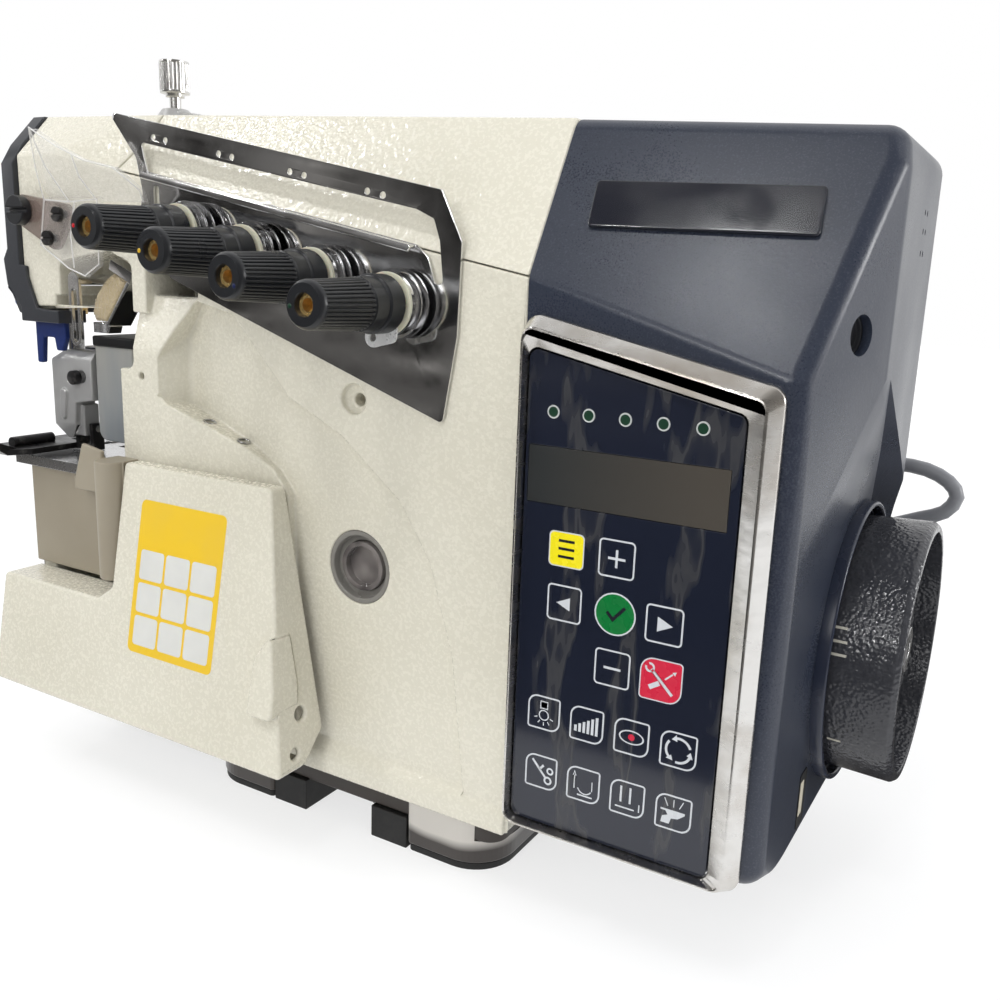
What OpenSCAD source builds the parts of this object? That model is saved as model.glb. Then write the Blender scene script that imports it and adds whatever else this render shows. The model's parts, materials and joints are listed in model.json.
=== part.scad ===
// Overlock sewing machine head, direct drive, with a control panel in its right end.
// Millimetres, +Z up, the operator stands on the -Y side and the handwheel is on the right (+X).
// The origin is the centre of the footprint of the four feet, on the table.

/* [Body] */
// Left end of the arm casting
arm_left = -163; // [-175:1:-160]
// Joint between the cream casting and the end housing
joint_x = 87; // [84:1:92]
// Front face of the casting and of the housing
face_y = -67; // [-70:1:-64]
// Rear face of the casting, without its cover
rear_y = 78; // [74:1:90]
// Underside of the casting
body_z = 31; // [29:1:33]
// Height of the top face where it meets the housing
top_z = 273.5; // [264:0.5:280]
// Underside of the arm over the needle plate
arm_z = 202; // [198:1:206]
// Left face of the column beside the needle area
column_x = -104; // [-106:1:-102]
// Height of the needle plate's upper face
plate_z = 138; // [136:1:139]
// Wall of the cast body
wall = 5; // [4:0.5:6]

/* [Base] */
// Distance between the foot bolts along the machine
foot_pitch_x = 104; // [96:2:116]
// Distance between the foot bolts across the machine
foot_pitch_y = 72; // [64:2:80]
// Length of a foot casting along the machine
foot_l = 39; // [36:1:44]
// Depth of a foot casting across the machine
foot_w = 44; // [40:1:50]
// Radius of a foot's outer corner
foot_round = 18; // [12:1:20]
// Height of the rubber pads
pad_h = 3; // [2:0.5:4]

/* [End housing] */
// Width of the housing's front face at its foot
front_w = 90; // [88:1:94]
// Widest point of the housing, at the side crease
side_x = 188; // [186:1:192]
// Face of the hollow round the handwheel
hollow_x = 176; // [175:1:177]
// Underside of the housing
housing_z = 39; // [36:1:40]
// Wall of the housing
shell = 3; // [2.5:0.5:4]
// Height of the crease under the sloping face, at the joint
crease_z = 223; // [220:1:226]
// Slope of that face: set back for each millimetre of height
lean = 0.565; // [0.5:0.01:0.62]

/* [Control panel] */
// Height of the keypad's left edge
keypad_h = 160; // [154:1:163]
// Width of the keypad
keypad_w = 70; // [66:1:72]
// Fall of the keypad's upper edge across its width
keypad_drop = 15; // [12:1:18]

/* [Handwheel] */
// Height of the main shaft
shaft_z = 94.5; // [94:0.5:96]
// Depth of the main shaft
shaft_y = 31; // [30:0.5:32]
// Outside diameter of the handwheel at its rim
wheel_d = 96; // [90:1:96]
// Face of the handwheel's rim
rim_x = 202; // [198:1:206]
// Diameter of the main shaft
shaft_d = 15; // [14:0.5:16]

/* [Thread tension] */
// Distance between two tension posts, along the machine
post_pitch = 31.8; // [30:0.1:33]
// First post from the left
post_x = -54.5; // [-56:0.5:-53]
// Height of the first post
post_z = 234; // [232:0.5:236]
// Fall from one post to the next
post_drop = 7.1; // [6.5:0.1:7.5]
// Length of a post from the plate to the knob's front
post_l = 51; // [49:0.5:54]
// Diameter of a tension knob's grip
knob_d = 15; // [14:0.5:16]

/* [Looper cover] */
// Right end of the cover at its foot
cover_right = 7; // [4:1:10]
// Forward lean of the cover from top to bottom
cover_bulge = 20; // [14:1:24]
// Travel of the cover to the right before it opens
cover_slide = 6; // [4:1:8]

/* [Hidden] */

$fn = 48;
slack = 0.4;                 // gap between parts that only lie side by side
fit = 0.04;                  // radial clearance of a running fit
top_fall = 0.036;            // fall of the top face for each millimetre to the right
seam_rise = 0.185;           // rise of the top cover's seam to the left
cream_yaw = atan(lean * seam_rise);
crease_fall = 0.304;         // fall of the housing's crease to the right
housing_yaw = atan(lean * crease_fall);
housing_rear = rear_y + 8;
left_end = arm_left - 8;
posts = [for (i = [0:3]) [post_x + i * post_pitch, post_z - i * post_drop]];
sleeve_d = knob_d + 4;
plate_y = face_y - 1.6;      // front face of the tension plate
knob_front = plate_y - post_l + 1;
panel_y = face_y - 3;        // front face of the keypad
pin_y = face_y - 10;         // hinge line of the looper cover
pin_z = body_z + 16;
pin_d = 5;
pan_z = 13.5;                // underside of the oil pan, between the feet
foot_front = foot_round;     // from a bolt to its foot's outer faces, along Y
foot_side = 22;              // and along X
bolt_d = 9;                  // clearance holes of the foot bolts
needle_x = -156;
needle_y = -48;
lift_y = 10;                 // hinge line of the presser arm
lift_z = 182;
sight = [18.5, 115.8];
feet = [for (x = [-1, 1], y = [-1, 1]) [x * foot_pitch_x / 2, y * foot_pitch_y / 2]];
pressure = [-118, -20];      // axis of the presser pressure screw
presser_y = -60.5;           // front face of the presser arm's head
foot_pin_y = -52.5;          // hinge line of the presser foot
foot_pin_z = 149;
guard_x = -152;              // thumb screw on which the eye guard swings
guard_z = 242;
looper_z = 76;
lever = [face_y + 17, arm_z + 18];    // pin of the release lever, in Y and Z
flare = [side_x - (joint_x + front_w - 3), 43];   // run of the flared side in X and Y
side_yaw = atan(flare[0] / flare[1]);
side_hole = [side_x - flare[0] * 17 / flare[1], face_y + 26, 210];
hub_x = rim_x - 5.5;         // end of the handwheel's hub
edge_r = 8;                  // rounding of the housing's edges
recess_r = 63.5;             // recess round the handwheel, on the side face

// ---------- shared shapes ----------

// Prism along Y from an outline in X and Z
module front_prism(points, y0, y1) {
    translate([0, y1, 0]) rotate([90, 0, 0]) linear_extrude(y1 - y0) polygon(points);
}

// Prism along Y from a 2D child in X and Z
module front_extrude(y0, y1) {
    translate([0, y1, 0]) rotate([90, 0, 0]) linear_extrude(y1 - y0) children();
}

// Prism along X from an outline in Y and Z
module side_prism(points, x0, x1) {
    translate([x0, 0, 0]) rotate([90, 0, 90]) linear_extrude(x1 - x0) polygon(points);
}

// Profile in Y and Z carried along X on a slope, from height z at x0
module side_slope(x0, x1, z, slope) {
    multmatrix([[1, 0, 0, x0], [0, 1, 0, 0], [slope, 0, 1, z], [0, 0, 0, 1]])
        side_extrude(0, x1 - x0) children();
}

// Prism along X from a 2D child in Y and Z
module side_extrude(x0, x1) {
    translate([x0, 0, 0]) rotate([90, 0, 90]) linear_extrude(x1 - x0) children();
}

// Cylinder along X
module rod_x(x0, x1, y, z, d) {
    translate([x0, y, z]) rotate([0, 90, 0]) cylinder(h = x1 - x0, d = d);
}

// Cylinder along Y
module rod_y(x, y0, y1, z, d) {
    translate([x, y1, z]) rotate([90, 0, 0]) cylinder(h = y1 - y0, d = d);
}

// Cylinder along Z
module rod_z(x, y, z0, z1, d) {
    translate([x, y, z0]) cylinder(h = z1 - z0, d = d);
}

// Ring along Y
module ring_y(x, y0, y1, z, d, bore) {
    difference() {
        rod_y(x, y0, y1, z, d);
        rod_y(x, y0 - 1, y1 + 1, z, bore);
    }
}

// Box between two corners
module box(a, b) {
    translate(a) cube(b - a);
}

// Space in front of a face that leans back above a crease through (x, face, z)
module lean_cut(x, z, yaw, inset) {
    translate([x, face_y + inset, z])
        rotate([0, 0, yaw]) rotate([-atan(lean * cos(yaw)), 0, 0])
            translate([-400, -200, -400]) cube([800, 200, 800]);
}

function body_top(x) = top_z + (joint_x - x) * top_fall;
function seam_z(x) = crease_z + (joint_x - x) * seam_rise;

// ---------- cast body ----------

// Outline of the casting in X and Z; grow moves its walls in
module body_outline(inset = 0) {
    offset(delta = -inset) polygon([
        [arm_left, body_z], [joint_x - slack / 2, body_z],
        [joint_x - slack / 2, body_top(joint_x)], [arm_left, body_top(arm_left)],
        [arm_left, arm_z], [column_x + 10, arm_z + 4], [column_x + 9.5, arm_z + 1],
        [column_x, arm_z - 10],
        [column_x, plate_z - 5], [arm_left, plate_z - 5]
    ]);
}

// The cast block with its leaning face, filled; inset makes the space inside it
module body_block(inset = 0) {
    difference() {
        front_extrude(face_y + inset, rear_y + (inset > 0 ? 1 : 0)) body_outline(inset);
        lean_cut(joint_x, crease_z, cream_yaw, inset * 1.2);
        // steeper facet at the arm's upper left, in line with the end cover
        translate([0, inset, -inset]) side_prism([[face_y - 5, arm_z + 57.5], [face_y + 35, arm_z + 101],
            [face_y - 5, arm_z + 101]], arm_left - 1, joint_x);
    }
}

// Region of the removable top cover; grow opens the seam
module cover_region(grow = 0) {
    left = column_x + 3;
    front_extrude(-150, 150) offset(delta = grow) polygon([
        [left, seam_z(left)], [joint_x + 20, seam_z(joint_x + 20)],
        [joint_x + 20, 320], [left + 26, 320], [left + 9, seam_z(left) + 11]
    ]);
}

// Dished area of the column's face: deep behind the thread ledge on the left, shallow
// round the oil sight, with the sloping ledge as its floor and a rounded upper right edge
module face_scoop() {
    intersection() {
        front_extrude(face_y - 2, face_y + 20) difference() {
            offset(r = -4) offset(r = 9) offset(delta = -5) polygon([
                [-83, 172], [-77.5, 167.4], [-57, 161.6], [-32.4, 154], [-20, 148], [-13, 140],
                [-9, 36], [69, 36], [62, 92], [52, 124], [39, 144], [12, 165], [-12, 176],
                [-40, 205], [-64, 210], [-74, 197], [-83, 183]
            ]);
            translate([18, 178.5]) circle(d = 16);
        }
        translate([0, 0, 30]) linear_extrude(200) offset(r = 3) offset(delta = -3) polygon([
            [-81.6, face_y - 8], [-81.6, face_y], [-75.5, face_y + 12.5], [-20, face_y + 4],
            [72, face_y + 1.6], [80, face_y - 8]
        ]);
    }
}

// Facet that leans back under the tension plate's left end
module lean_facet() {
    side_prism([[face_y - 1, arm_z - 13], [face_y, arm_z - 13], [face_y + 8, arm_z + 14],
        [face_y - 1, arm_z + 24]], column_x - 4, column_x + 46);
}

module body_casting() {
    color("ivory") difference() {
        union() {
            difference() {
                union() {
                    difference() {
                        body_block();
                        body_block(wall);
                    }
                    // thick wall behind the dished face
                    front_extrude(face_y + 1, face_y + 18)
                        polygon([[-100, 44], [80, 44], [80, 180], [-20, 210], [-98, 210]]);
                }
                face_scoop();
                lean_facet();
            }
            // flange along the foot of the column, running out into its face
            side_prism([[face_y - 2, body_z], [face_y + 8, body_z], [face_y + 8, body_z + 15],
                [face_y + 3, body_z + 12], [face_y - 0.5, body_z + 8.5], [face_y - 2, body_z + 6]],
                arm_left + 2, joint_x - slack);
            // lugs of the cover's hinge
            for (x = [-120, -40])
                box([x, pin_y - 5, pin_z - 5], [x + 8, face_y + 1, pin_z + 5]);
            // bosses of the two shaft bearings
            rod_x(joint_x - 16, joint_x - slack, shaft_y, shaft_z, 46);
            rod_x(arm_left, arm_left + 14, shaft_y, shaft_z, 46);
            // lugs of the presser arm's pin
            for (x = [-149, -130])
                box([x, lift_y - 6, lift_z - 6], [x + 6, lift_y + 6, arm_z + 8]);
            // web round the needle bar's bushes
            for (z = [arm_z, 244])
                box([arm_left + 1, face_y + 2, z], [needle_x + 9, needle_y + 8, z + 10]);
            // walls of the front notch
            front_prism([[-149.5, arm_z + 1], [-88, arm_z + 1], [-88, 236], [-149.5, 236]],
                face_y + 1, face_y + 27);
            // boss of the pressure screw
            rod_z(pressure[0], pressure[1], 262, body_top(pressure[0]) - 3, 30);
            // rail for the looper pins
            box([-140, -30, body_z + 1], [-30, -20, looper_z + 14]);
        }
        cover_region(slack / 2);
        // opening for the loopers, behind the looper cover
        front_prism([[-154, 52], [-20, 52], [-26, 124], [-154, 124]], face_y - 10, face_y + 30);
        // front notch beside the needle bar
        front_extrude(face_y - 5, face_y + 22) offset(r = 4) offset(delta = -4)
            polygon([[-139.5, 180], [-96, 180], [-96, 222], [-108, 227], [-139.5, 222]]);
        // clearance of the presser arm under the arm casting
        box([-143, face_y - 5, arm_z - 20], [-130, -6, arm_z + 6]);
        // bearing seats and the shaft's way through
        rod_x(joint_x - 12, joint_x + 5, shaft_y, shaft_z, 35);
        rod_x(joint_x - 30, joint_x + 5, shaft_y, shaft_z, 22);
        rod_x(arm_left + 4, arm_left + 30, shaft_y, shaft_z, 35);
        // needle bar bushes
        rod_z(needle_x, needle_y, arm_z - 5, 278, 11);
        // pins
        rod_x(-125, -25, pin_y, pin_z, pin_d + 2 * fit);
        rod_x(-150, -123, lift_y, lift_z, 6);
        // pressure screw
        rod_z(pressure[0], pressure[1], 240, body_top(pressure[0]) + 20, 8);
        rod_z(pressure[0], pressure[1], body_top(pressure[0]) - 3, body_top(pressure[0]) + 20, 24);
        // oil sight, plugged hole and small holes of the face
        rod_y(sight[0], face_y - 5, face_y + 30, sight[1], 28);
        rod_y(18, face_y - 5, face_y + 3, 178.5, 11);
        rod_y(18.6, face_y - 5, face_y + 12, 178, 4.6);
        rod_y(-91.5, face_y - 5, face_y + 10, 177.6, 3);
        // thread holes in the ledge
        for (p = [[-58.5, 5.2, 150], [-39.3, 4.4, 144]])
            translate([p[0], face_y + p[1], p[2]]) cylinder(h = 24, d = 4.6);
        // looper pins
        for (x = [-112, -62]) rod_y(x, -40, -10, looper_z, 8);
        // needle passage and feed dog well
        box([-162, -72, 100], [-120, 10, plate_z + 2]);
        // screw holes of the tension plate's posts
        for (p = posts) rod_y(p[0], face_y - 5, face_y + 12, p[1], 5);
        rod_y(guard_x, face_y - 5, face_y + 9, guard_z, 5);
        // cable entry in the end wall
        rod_x(joint_x - 10, joint_x + 5, -20, 200, 16);
        // holes for the foot castings' screws
        for (f = feet) rod_z(f[0], f[1], body_z - 1, body_z + 12, 8);
    }
}

module top_cover() {
    color("ivory") intersection() {
        difference() {
            body_block();
            intersection() {
                body_block(3);
                box([-300, -200, 0], [300, rear_y - 3, 400]);
            }
        }
        cover_region(-slack / 2);
    }
}

module rear_plate() {
    color("ivory") difference() {
        front_extrude(rear_y + 0.1, rear_y + 3) offset(delta = -1) body_outline(0);
        cover_region(slack);
    }
}

// ---------- left end ----------

module end_cover() {
    top = body_top(arm_left);
    lip = 6;
    color("#2b2f38") difference() {
        union() {
            side_prism([
                [face_y - 2, arm_z + 25], [face_y - 2, top - 21], [face_y + 3, top - 13],
                [face_y + 15, top], [rear_y - 8, top], [rear_y, top - 10],
                [rear_y, arm_z + 4], [rear_y - 6, arm_z - 3], [face_y + 2, arm_z - 3],
                [face_y - 2, arm_z + 8]
            ], left_end, arm_left - slack / 2);
            front_prism([
                [left_end + 1, arm_z + 26], [left_end - 3, arm_z + 20], [left_end - 1.5, arm_z + 9],
                [arm_left + 1, arm_z - 2], [arm_left + 24, arm_z - lip],
                [arm_left + 24, arm_z - 0.6], [arm_left - slack / 2, arm_z - 0.6],
                [arm_left - slack / 2, arm_z + 26]
            ], face_y - 2, face_y + 12);
            front_prism([
                [arm_left - 1, arm_z + 18], [arm_left + 4, arm_z + 17.4],
                [arm_left + 4, arm_z + 13], [arm_left + 9.6, arm_z],
                [arm_left + 24, arm_z - 1], [arm_left + 24, arm_z - lip],
                [arm_left - 1, arm_z - lip]
            ], face_y - 2, face_y - slack / 2);
            // hooked finger that hangs under the arm
            front_extrude(face_y + 2, face_y + 4.5) offset(r = -1.2) offset(r = 2.2) offset(delta = -1)
                translate([arm_left, arm_z]) polygon([[2.5, -4], [22.5, -4], [22.5, -12], [20, -18],
                    [16, -18], [15, -12.5], [7.5, -12.5], [6, -24], [2.5, -24]]);
        }
        // room for the release lever behind the front rim
        box([left_end - 10, face_y + 4, arm_z - 10], [left_end, face_y + 20, arm_z + 30]);
        rod_x(left_end - 5, arm_left + 5, lever[0], lever[1], 6 + 2 * fit);
        // hollow side towards the casting
        side_prism([
            [face_y + 4, arm_z + 12], [face_y + 4, top - 22], [face_y + 18, top - 5],
            [rear_y - 10, top - 5], [rear_y - 5, top - 12], [rear_y - 5, arm_z + 8]
        ], left_end + 3, arm_left + 1);
    }
}

// Hand lever on a pin in the end cover
module release_lever() {
    outer = left_end - 7.4;
    inner = left_end - slack;
    color("#1458c8") union() {
        translate([outer, lever[0], lever[1]]) rotate([90, 0, 90]) linear_extrude(inner - outer)
            offset(r = 3) offset(delta = -3)
                polygon([[-6, 4], [6, 4], [4, -14], [-7, -20], [-12.4, -18], [-12, -10]]);
        rod_x(inner, left_end + 6, lever[0], lever[1], 6);
    }
}

// ---------- end housing ----------

// Front view of the housing in X and Z
module housing_front(inset = 0) {
    right = joint_x + front_w;
    offset(r = 8) offset(delta = -8 - inset) polygon([
        [joint_x - 20, housing_z], [right + 11, housing_z],
        [right + 11, crease_z], [side_x + 1, body_top(side_x)],
        [joint_x - 20, body_top(joint_x - 20)]
    ]);
}

// Centres of the balls that round the housing's corners, in plan
function housing_corners() = let (t = flare[0] / flare[1], k = edge_r * sqrt(1 + t * t)) [
    [joint_x - 20, face_y + edge_r],
    [joint_x + front_w - 3 + edge_r * t - k, face_y + edge_r],
    [side_x - edge_r, face_y + flare[1] + (k - edge_r) / t],
    [side_x - 2 - edge_r, housing_rear - 34], [side_x - 8 - edge_r, housing_rear - 14],
    [side_x - 30, housing_rear - edge_r], [joint_x - 20, housing_rear - edge_r]
];

// Height of a ball that touches the top face, and of one that touches the leaning face
lean_norm = norm([1, lean, lean * crease_fall]);
function under_top(x) = body_top(x) - edge_r;
function under_lean(p) = crease_z + (p[1] - face_y - lean_norm * edge_r) / lean
    - crease_fall * (p[0] - joint_x);
function meets_lean(x) = face_y + lean_norm * edge_r
    + lean * (under_top(x) - crease_z + crease_fall * (x - joint_x));

// Rounded block of the housing; inset shrinks the balls and keeps their centres
module housing_block(inset = 0) {
    low = [for (p = housing_corners()) [p[0], p[1], housing_z + edge_r]];
    high = [for (p = housing_corners()) [p[0], p[1], min(under_top(p[0]), under_lean(p))]];
    edge = [for (x = [joint_x - 20, side_x - edge_r - 1]) [x, meets_lean(x), under_top(x)]];
    difference() {
        hull() for (p = concat(low, high, edge)) translate(p) sphere(r = edge_r - inset, $fn = 32);
        wheel_recess(inset);
    }
}

// Recess round the handwheel: its floor slopes out to the front, its roof falls to the rear
module wheel_recess(inset = 0) {
    intersection() {
        front_prism([
            [hollow_x - inset, 20], [hollow_x - inset, 144], [side_x + 5 - inset, 219],
            [side_x + 30, 219], [side_x + 30, 20]
        ], face_y - 20, housing_rear + 20);
        hull() {
            translate([hollow_x - inset, 0, 0]) recess_outline(recess_r - 12 + inset);
            translate([2 * side_x - hollow_x, 0, 0]) recess_outline(recess_r + 12 + inset);
        }
    }
}

// Thin plate of the recess, in Y and Z: a disc round the shaft and a roof that rises forward
module recess_outline(r) {
    side_extrude(0, 0.1) hull() {
        translate([shaft_y, shaft_z]) circle(r = r);
        polygon([[-100, 0], [shaft_y + r, 0], [face_y - 10, shaft_z + r + 66],
            [face_y + 47, shaft_z + r + 41], [shaft_y - 22, shaft_z + r + 24]]);
    }
}

module end_housing() {
    color("#3a4356") difference() {
        housing_block();
        difference() {
            housing_block(shell);
            // lip that closes the step to the casting's rear face
            box([joint_x - 5, rear_y, 0], [joint_x + shell, housing_rear, 400]);
            // seat of the control panel
            box([joint_x - 5, face_y, housing_z], [joint_x + front_w, face_y + 5, 216]);
        }
        box([joint_x - 30, -200, 0], [joint_x, 200, 400]);
        // open back
        front_extrude(housing_rear - shell - 1, housing_rear + 5) intersection() {
            housing_front(shell + 3);
            translate([joint_x + 5, 0]) square([side_x - 27 - joint_x - 5, 400]);
        }
        // round opening for the handwheel
        rod_x(hollow_x - 12, hollow_x + 12, shaft_y, shaft_z, wheel_d + 4);
        // side hole, square to the flared side
        translate(side_hole) rotate([0, 0, -side_yaw]) rotate([0, 90, 0])
            translate([0, 0, -10]) cylinder(h = 20, d = 12);
        // vent holes behind the side crease
        for (z = [235, 242, 248], y = [18, 24])
            rod_x(side_x - 12, side_x + 5, y, z, 2);
    }
}

module housing_back() {
    color("#3a4356") difference() {
        front_extrude(housing_rear - shell, housing_rear - 0.2) intersection() {
            housing_front(shell + 3.4);
            translate([joint_x + 5.4, 0]) square([side_x - 27 - joint_x - 5.8, 400]);
        }
        for (p = cable_ends) rod_y(p[0], 0, 200, p[1], 12);
    }
}

module side_plug() {
    color("#1b1d22") translate(side_hole) rotate([0, 0, -side_yaw]) rotate([0, 90, 0])
        translate([0, 0, -shell - 2.8]) difference() {
            cylinder(h = 2.5, d = 17);
            translate([0, 0, 1]) cylinder(h = 2, d = 11);
        }
}

// ---------- base ----------

// Outline of a foot's casting round its bolt, rounded at the machine's outer corner
module foot_plan(inset = 0) {
    offset(r = 2) offset(delta = -2 - inset) union() {
        translate([foot_side - foot_round, foot_round - foot_front]) circle(r = foot_round);
        translate([foot_side - foot_l, -foot_front]) square([foot_l - foot_round, foot_w]);
        translate([foot_side - foot_l, foot_round - foot_front])
            square([foot_l, foot_w - foot_round]);
    }
}

// The black block inboard of a foot
module foot_block() {
    translate([foot_side - foot_l - 17.9, -foot_front + 0.4]) square([17.5, foot_w - 10]);
}

// Children repeated at the four bolts, mirrored so that the rounded corner points outwards
module at_feet() {
    for (x = [0, 1], y = [0, 1]) mirror([x, 0, 0]) mirror([0, y, 0])
        translate([foot_pitch_x / 2, -foot_pitch_y / 2, 0]) children();
}

module pan_plan(inset = 0) {
    right = foot_pitch_x / 2 + foot_side + 1;
    offset(r = 8) offset(delta = -8 - inset)
        polygon([[-150, -52], [right, -52], [right, 68], [-150, 68]]);
}

module base_pan() {
    color("#26262a") difference() {
        union() {
            difference() {
                translate([0, 0, pan_z]) linear_extrude(body_z - pan_z) pan_plan();
                translate([0, 0, pan_z + 3]) linear_extrude(body_z - pan_z) pan_plan(4);
            }
            // walls round the feet
            intersection() {
                translate([0, 0, pan_z]) linear_extrude(body_z - pan_z) pan_plan();
                at_feet() translate([0, 0, pan_z]) linear_extrude(body_z - pan_z)
                    offset(delta = 3.3) foot_plan();
            }
        }
        at_feet() translate([0, 0, pan_z - 1]) linear_extrude(30) offset(delta = 0.3) foot_plan();
        at_feet() translate([0, 0, pan_z - 1]) linear_extrude(1.3) offset(delta = 0.3) foot_block();
    }
}

module foot_castings() {
    color("#77787a") at_feet() difference() {
        translate([0, 0, pad_h]) linear_extrude(body_z - pad_h) foot_plan();
        cylinder(h = 40, d = bolt_d);
    }
}

module rubber_feet() {
    color("#161616") at_feet() difference() {
        union() {
            linear_extrude(pad_h) foot_plan(0.6);
            linear_extrude(pan_z) foot_block();
            translate([foot_side - foot_l - 4, -8, 0]) cube([8, 16, pad_h]);
        }
        translate([0, 0, -1]) cylinder(h = pad_h + 2, d = bolt_d);
    }
}

// ---------- control panel ----------

// Keypad outline with its sloping upper edge; grow adds a border
module keypad_outline(grow = 0) {
    offset(r = 3) offset(delta = grow - 3) polygon([
        [joint_x + 3, housing_z + 3], [joint_x + 3 + keypad_w, housing_z + 3],
        [joint_x + 3 + keypad_w, housing_z + 3 + keypad_h - keypad_drop],
        [joint_x + 3, housing_z + 3 + keypad_h]
    ]);
}

// Outer outline of the chrome frame, wide above and on the right
module frame_outline(inset = 0) {
    left = joint_x + 0.6;
    right = joint_x + 3 + keypad_w + 10;
    foot = housing_z + 0.6;
    slope = keypad_drop / keypad_w;
    top = housing_z + 3 + keypad_h + 11;
    offset(r = 5) offset(delta = -5 - inset) polygon([
        [left, foot], [right, foot], [right, top - (right - left) * slope], [left, top]
    ]);
}

// Moulding with a ridge between an outer facet and an inner one that falls to the keypad
module control_frame() {
    ridge_y = face_y - 6.4;
    color("silver") difference() {
        hull() {
            front_extrude(face_y - 2, face_y - 0.1) frame_outline();
            front_extrude(ridge_y, ridge_y + 0.1) frame_ridge(0.3);
        }
        hull() {
            front_extrude(ridge_y - 1, ridge_y) frame_ridge(-0.3);
            front_extrude(panel_y, panel_y + 0.1) keypad_outline(0.3);
        }
        front_extrude(face_y - 6, face_y + 1) keypad_outline(0.3);
    }
}

// Line of the ridge: nearer the keypad on the left and below, where the frame is narrow
module frame_ridge(grow) {
    slope = keypad_drop / keypad_w;
    left = joint_x + 1.7;
    right = joint_x + keypad_w + 9;
    foot = housing_z + 1.7;
    top = housing_z + keypad_h + 9.5;
    offset(r = 4) offset(delta = grow - 4) polygon([
        [left, foot], [right, foot], [right, top - (right - left) * slope], [left, top]
    ]);
}

module keypad() {
    color("#131c33") difference() {
        front_extrude(panel_y, face_y - 0.1) keypad_outline();
        display_cut(0);
    }
}

module display_cut(inset) {
    front_extrude(panel_y - 2, panel_y + 1 + inset) offset(delta = -inset)
        translate([joint_x + 4, housing_z + 114]) square([66, 18.6]);
}

module display_window() {
    color("#3c463c") intersection() {
        display_cut(0.15);
        box([0, panel_y + 0.1, 0], [300, panel_y + 0.95, 400]);
    }
}

// Blank domed plate on the sloping face
module badge_plate() {
    color("#0d0f14") translate([joint_x, face_y, crease_z]) rotate([0, 0, housing_yaw])
        rotate([-atan(lean * cos(housing_yaw)), 0, 0]) front_extrude(-1.8, -0.02)
            translate([15.5, 17.2]) rotate(-1.4) offset(r = 1.5) offset(delta = -1.5) square([69, 16.5]);
}

// ---------- oil sight ----------

module sight_ring() {
    color("#8b8c90") difference() {
        rod_y(sight[0], face_y + 3.4, face_y + 18, sight[1], 27.9);
        rod_y(sight[0], face_y, face_y + 7, sight[1], 24);
        rod_y(sight[0], face_y, face_y + 20, sight[1], 19);
    }
}

module sight_lens() {
    color("#c8c4c4") union() {
        rod_y(sight[0], face_y + 8, face_y + 11, sight[1], 18.8);
        ring_y(sight[0], face_y + 5, face_y + 8, sight[1], 18.8, 15);
    }
}

// ---------- thread tension ----------

module tension_plate() {
    slope = post_drop / post_pitch;
    left = post_x - 46.5;
    right = left + 164;
    top = post_z + 45;
    color("silver") difference() {
        union() {
            front_extrude(plate_y, plate_y + 1.2) offset(r = -6) offset(r = 7.5) offset(delta = -1.5)
                polygon([
                    [left - 1, top + 0.5], [right - 8, top - 30], [right, top - 46],
                    [right - 1, top - 76], [right - 6, top - 105], [left + 31, top - 62],
                    [left + 13, top - 44], [left + 17, top - 30], [left + 14, top - 17]
                ]);
            // flange bent forward along the window's lower edge, rolled at its lip
            side_slope(left + 20, left + 146, top - 22.5, -0.197)
                polygon([[plate_y + 0.4, 0], [plate_y + 0.4, -1.2], [plate_y - 2.6, -1.2],
                    [plate_y - 3.4, -2.6], [plate_y - 4.2, -2], [plate_y - 3.2, 0]]);
        }
        // window for the threads, ending in a narrow slot
        front_extrude(plate_y - 5, plate_y + 5) offset(r = 1.2) offset(delta = -1.2) polygon([
            [left + 17, top - 11.5], [left + 146, top - 36], [left + 153, top - 39],
            [left + 155.5, top - 46], [left + 157, top - 59.5], [left + 154, top - 59.5],
            [left + 151, top - 51], [left + 146.5, top - 47.2], [left + 20, top - 22.4],
            [left + 18, top - 16]
        ]);
        // long hole in the left web
        front_extrude(plate_y - 5, plate_y + 5) hull() for (z = [-29, -34])
            translate([left + 24.5, top + z]) circle(d = 3);
        for (p = posts) rod_y(p[0], plate_y - 5, plate_y + 5, p[1], 5);
        for (i = [0:3], d = [0, 6.5])
            rod_y(left + 24 + i * 34 + d, plate_y - 5, plate_y + 5,
                top - 10 - (i * 34 + d) * 0.199, 2.2);
    }
}

module tension_posts() {
    color("#9a9a9c") for (p = posts) {
        rod_y(p[0], knob_front + 10, face_y + 11, p[1], 4.9);
        rod_y(p[0], plate_y - 1.4, plate_y - 0.05, p[1], 9);
    }
}

module tension_discs() {
    color("silver") for (p = posts, i = [0, 1])
        translate([p[0], plate_y - 2 - i * 3.6, p[1]]) rotate([90, 0, 0]) difference() {
            union() {
                cylinder(h = 0.8, d = 23);
                translate([0, 0, 0.8]) cylinder(h = 1.1, d1 = 17, d2 = 15);
            }
            translate([0, 0, -1]) cylinder(h = 4, d = 5.2);
        }
}

module tension_washers() {
    color("#d9d5bf") for (p = posts) ring_y(p[0], plate_y - 10.8, plate_y - 8, p[1], 20.5, 5.2);
}

module tension_springs() {
    color("#6c6c70") for (p = posts)
        ring_y(p[0], plate_y - 22, plate_y - 10.9, p[1], 10, 7);
}

module thread_eyelets() {
    color("silver") for (p = posts) difference() {
        front_extrude(plate_y - 11.8, plate_y - 10.9) difference() {
            hull() {
                translate(p) circle(d = 12);
                translate([p[0] - 4, p[1] - 11]) circle(d = 6.5);
                translate([p[0] + 3, p[1] - 10]) circle(d = 5);
            }
            translate([p[0] - 4, p[1] - 11]) circle(d = 2.6);
        }
        rod_y(p[0], plate_y - 15, plate_y, p[1], 11);
    }
}

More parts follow.
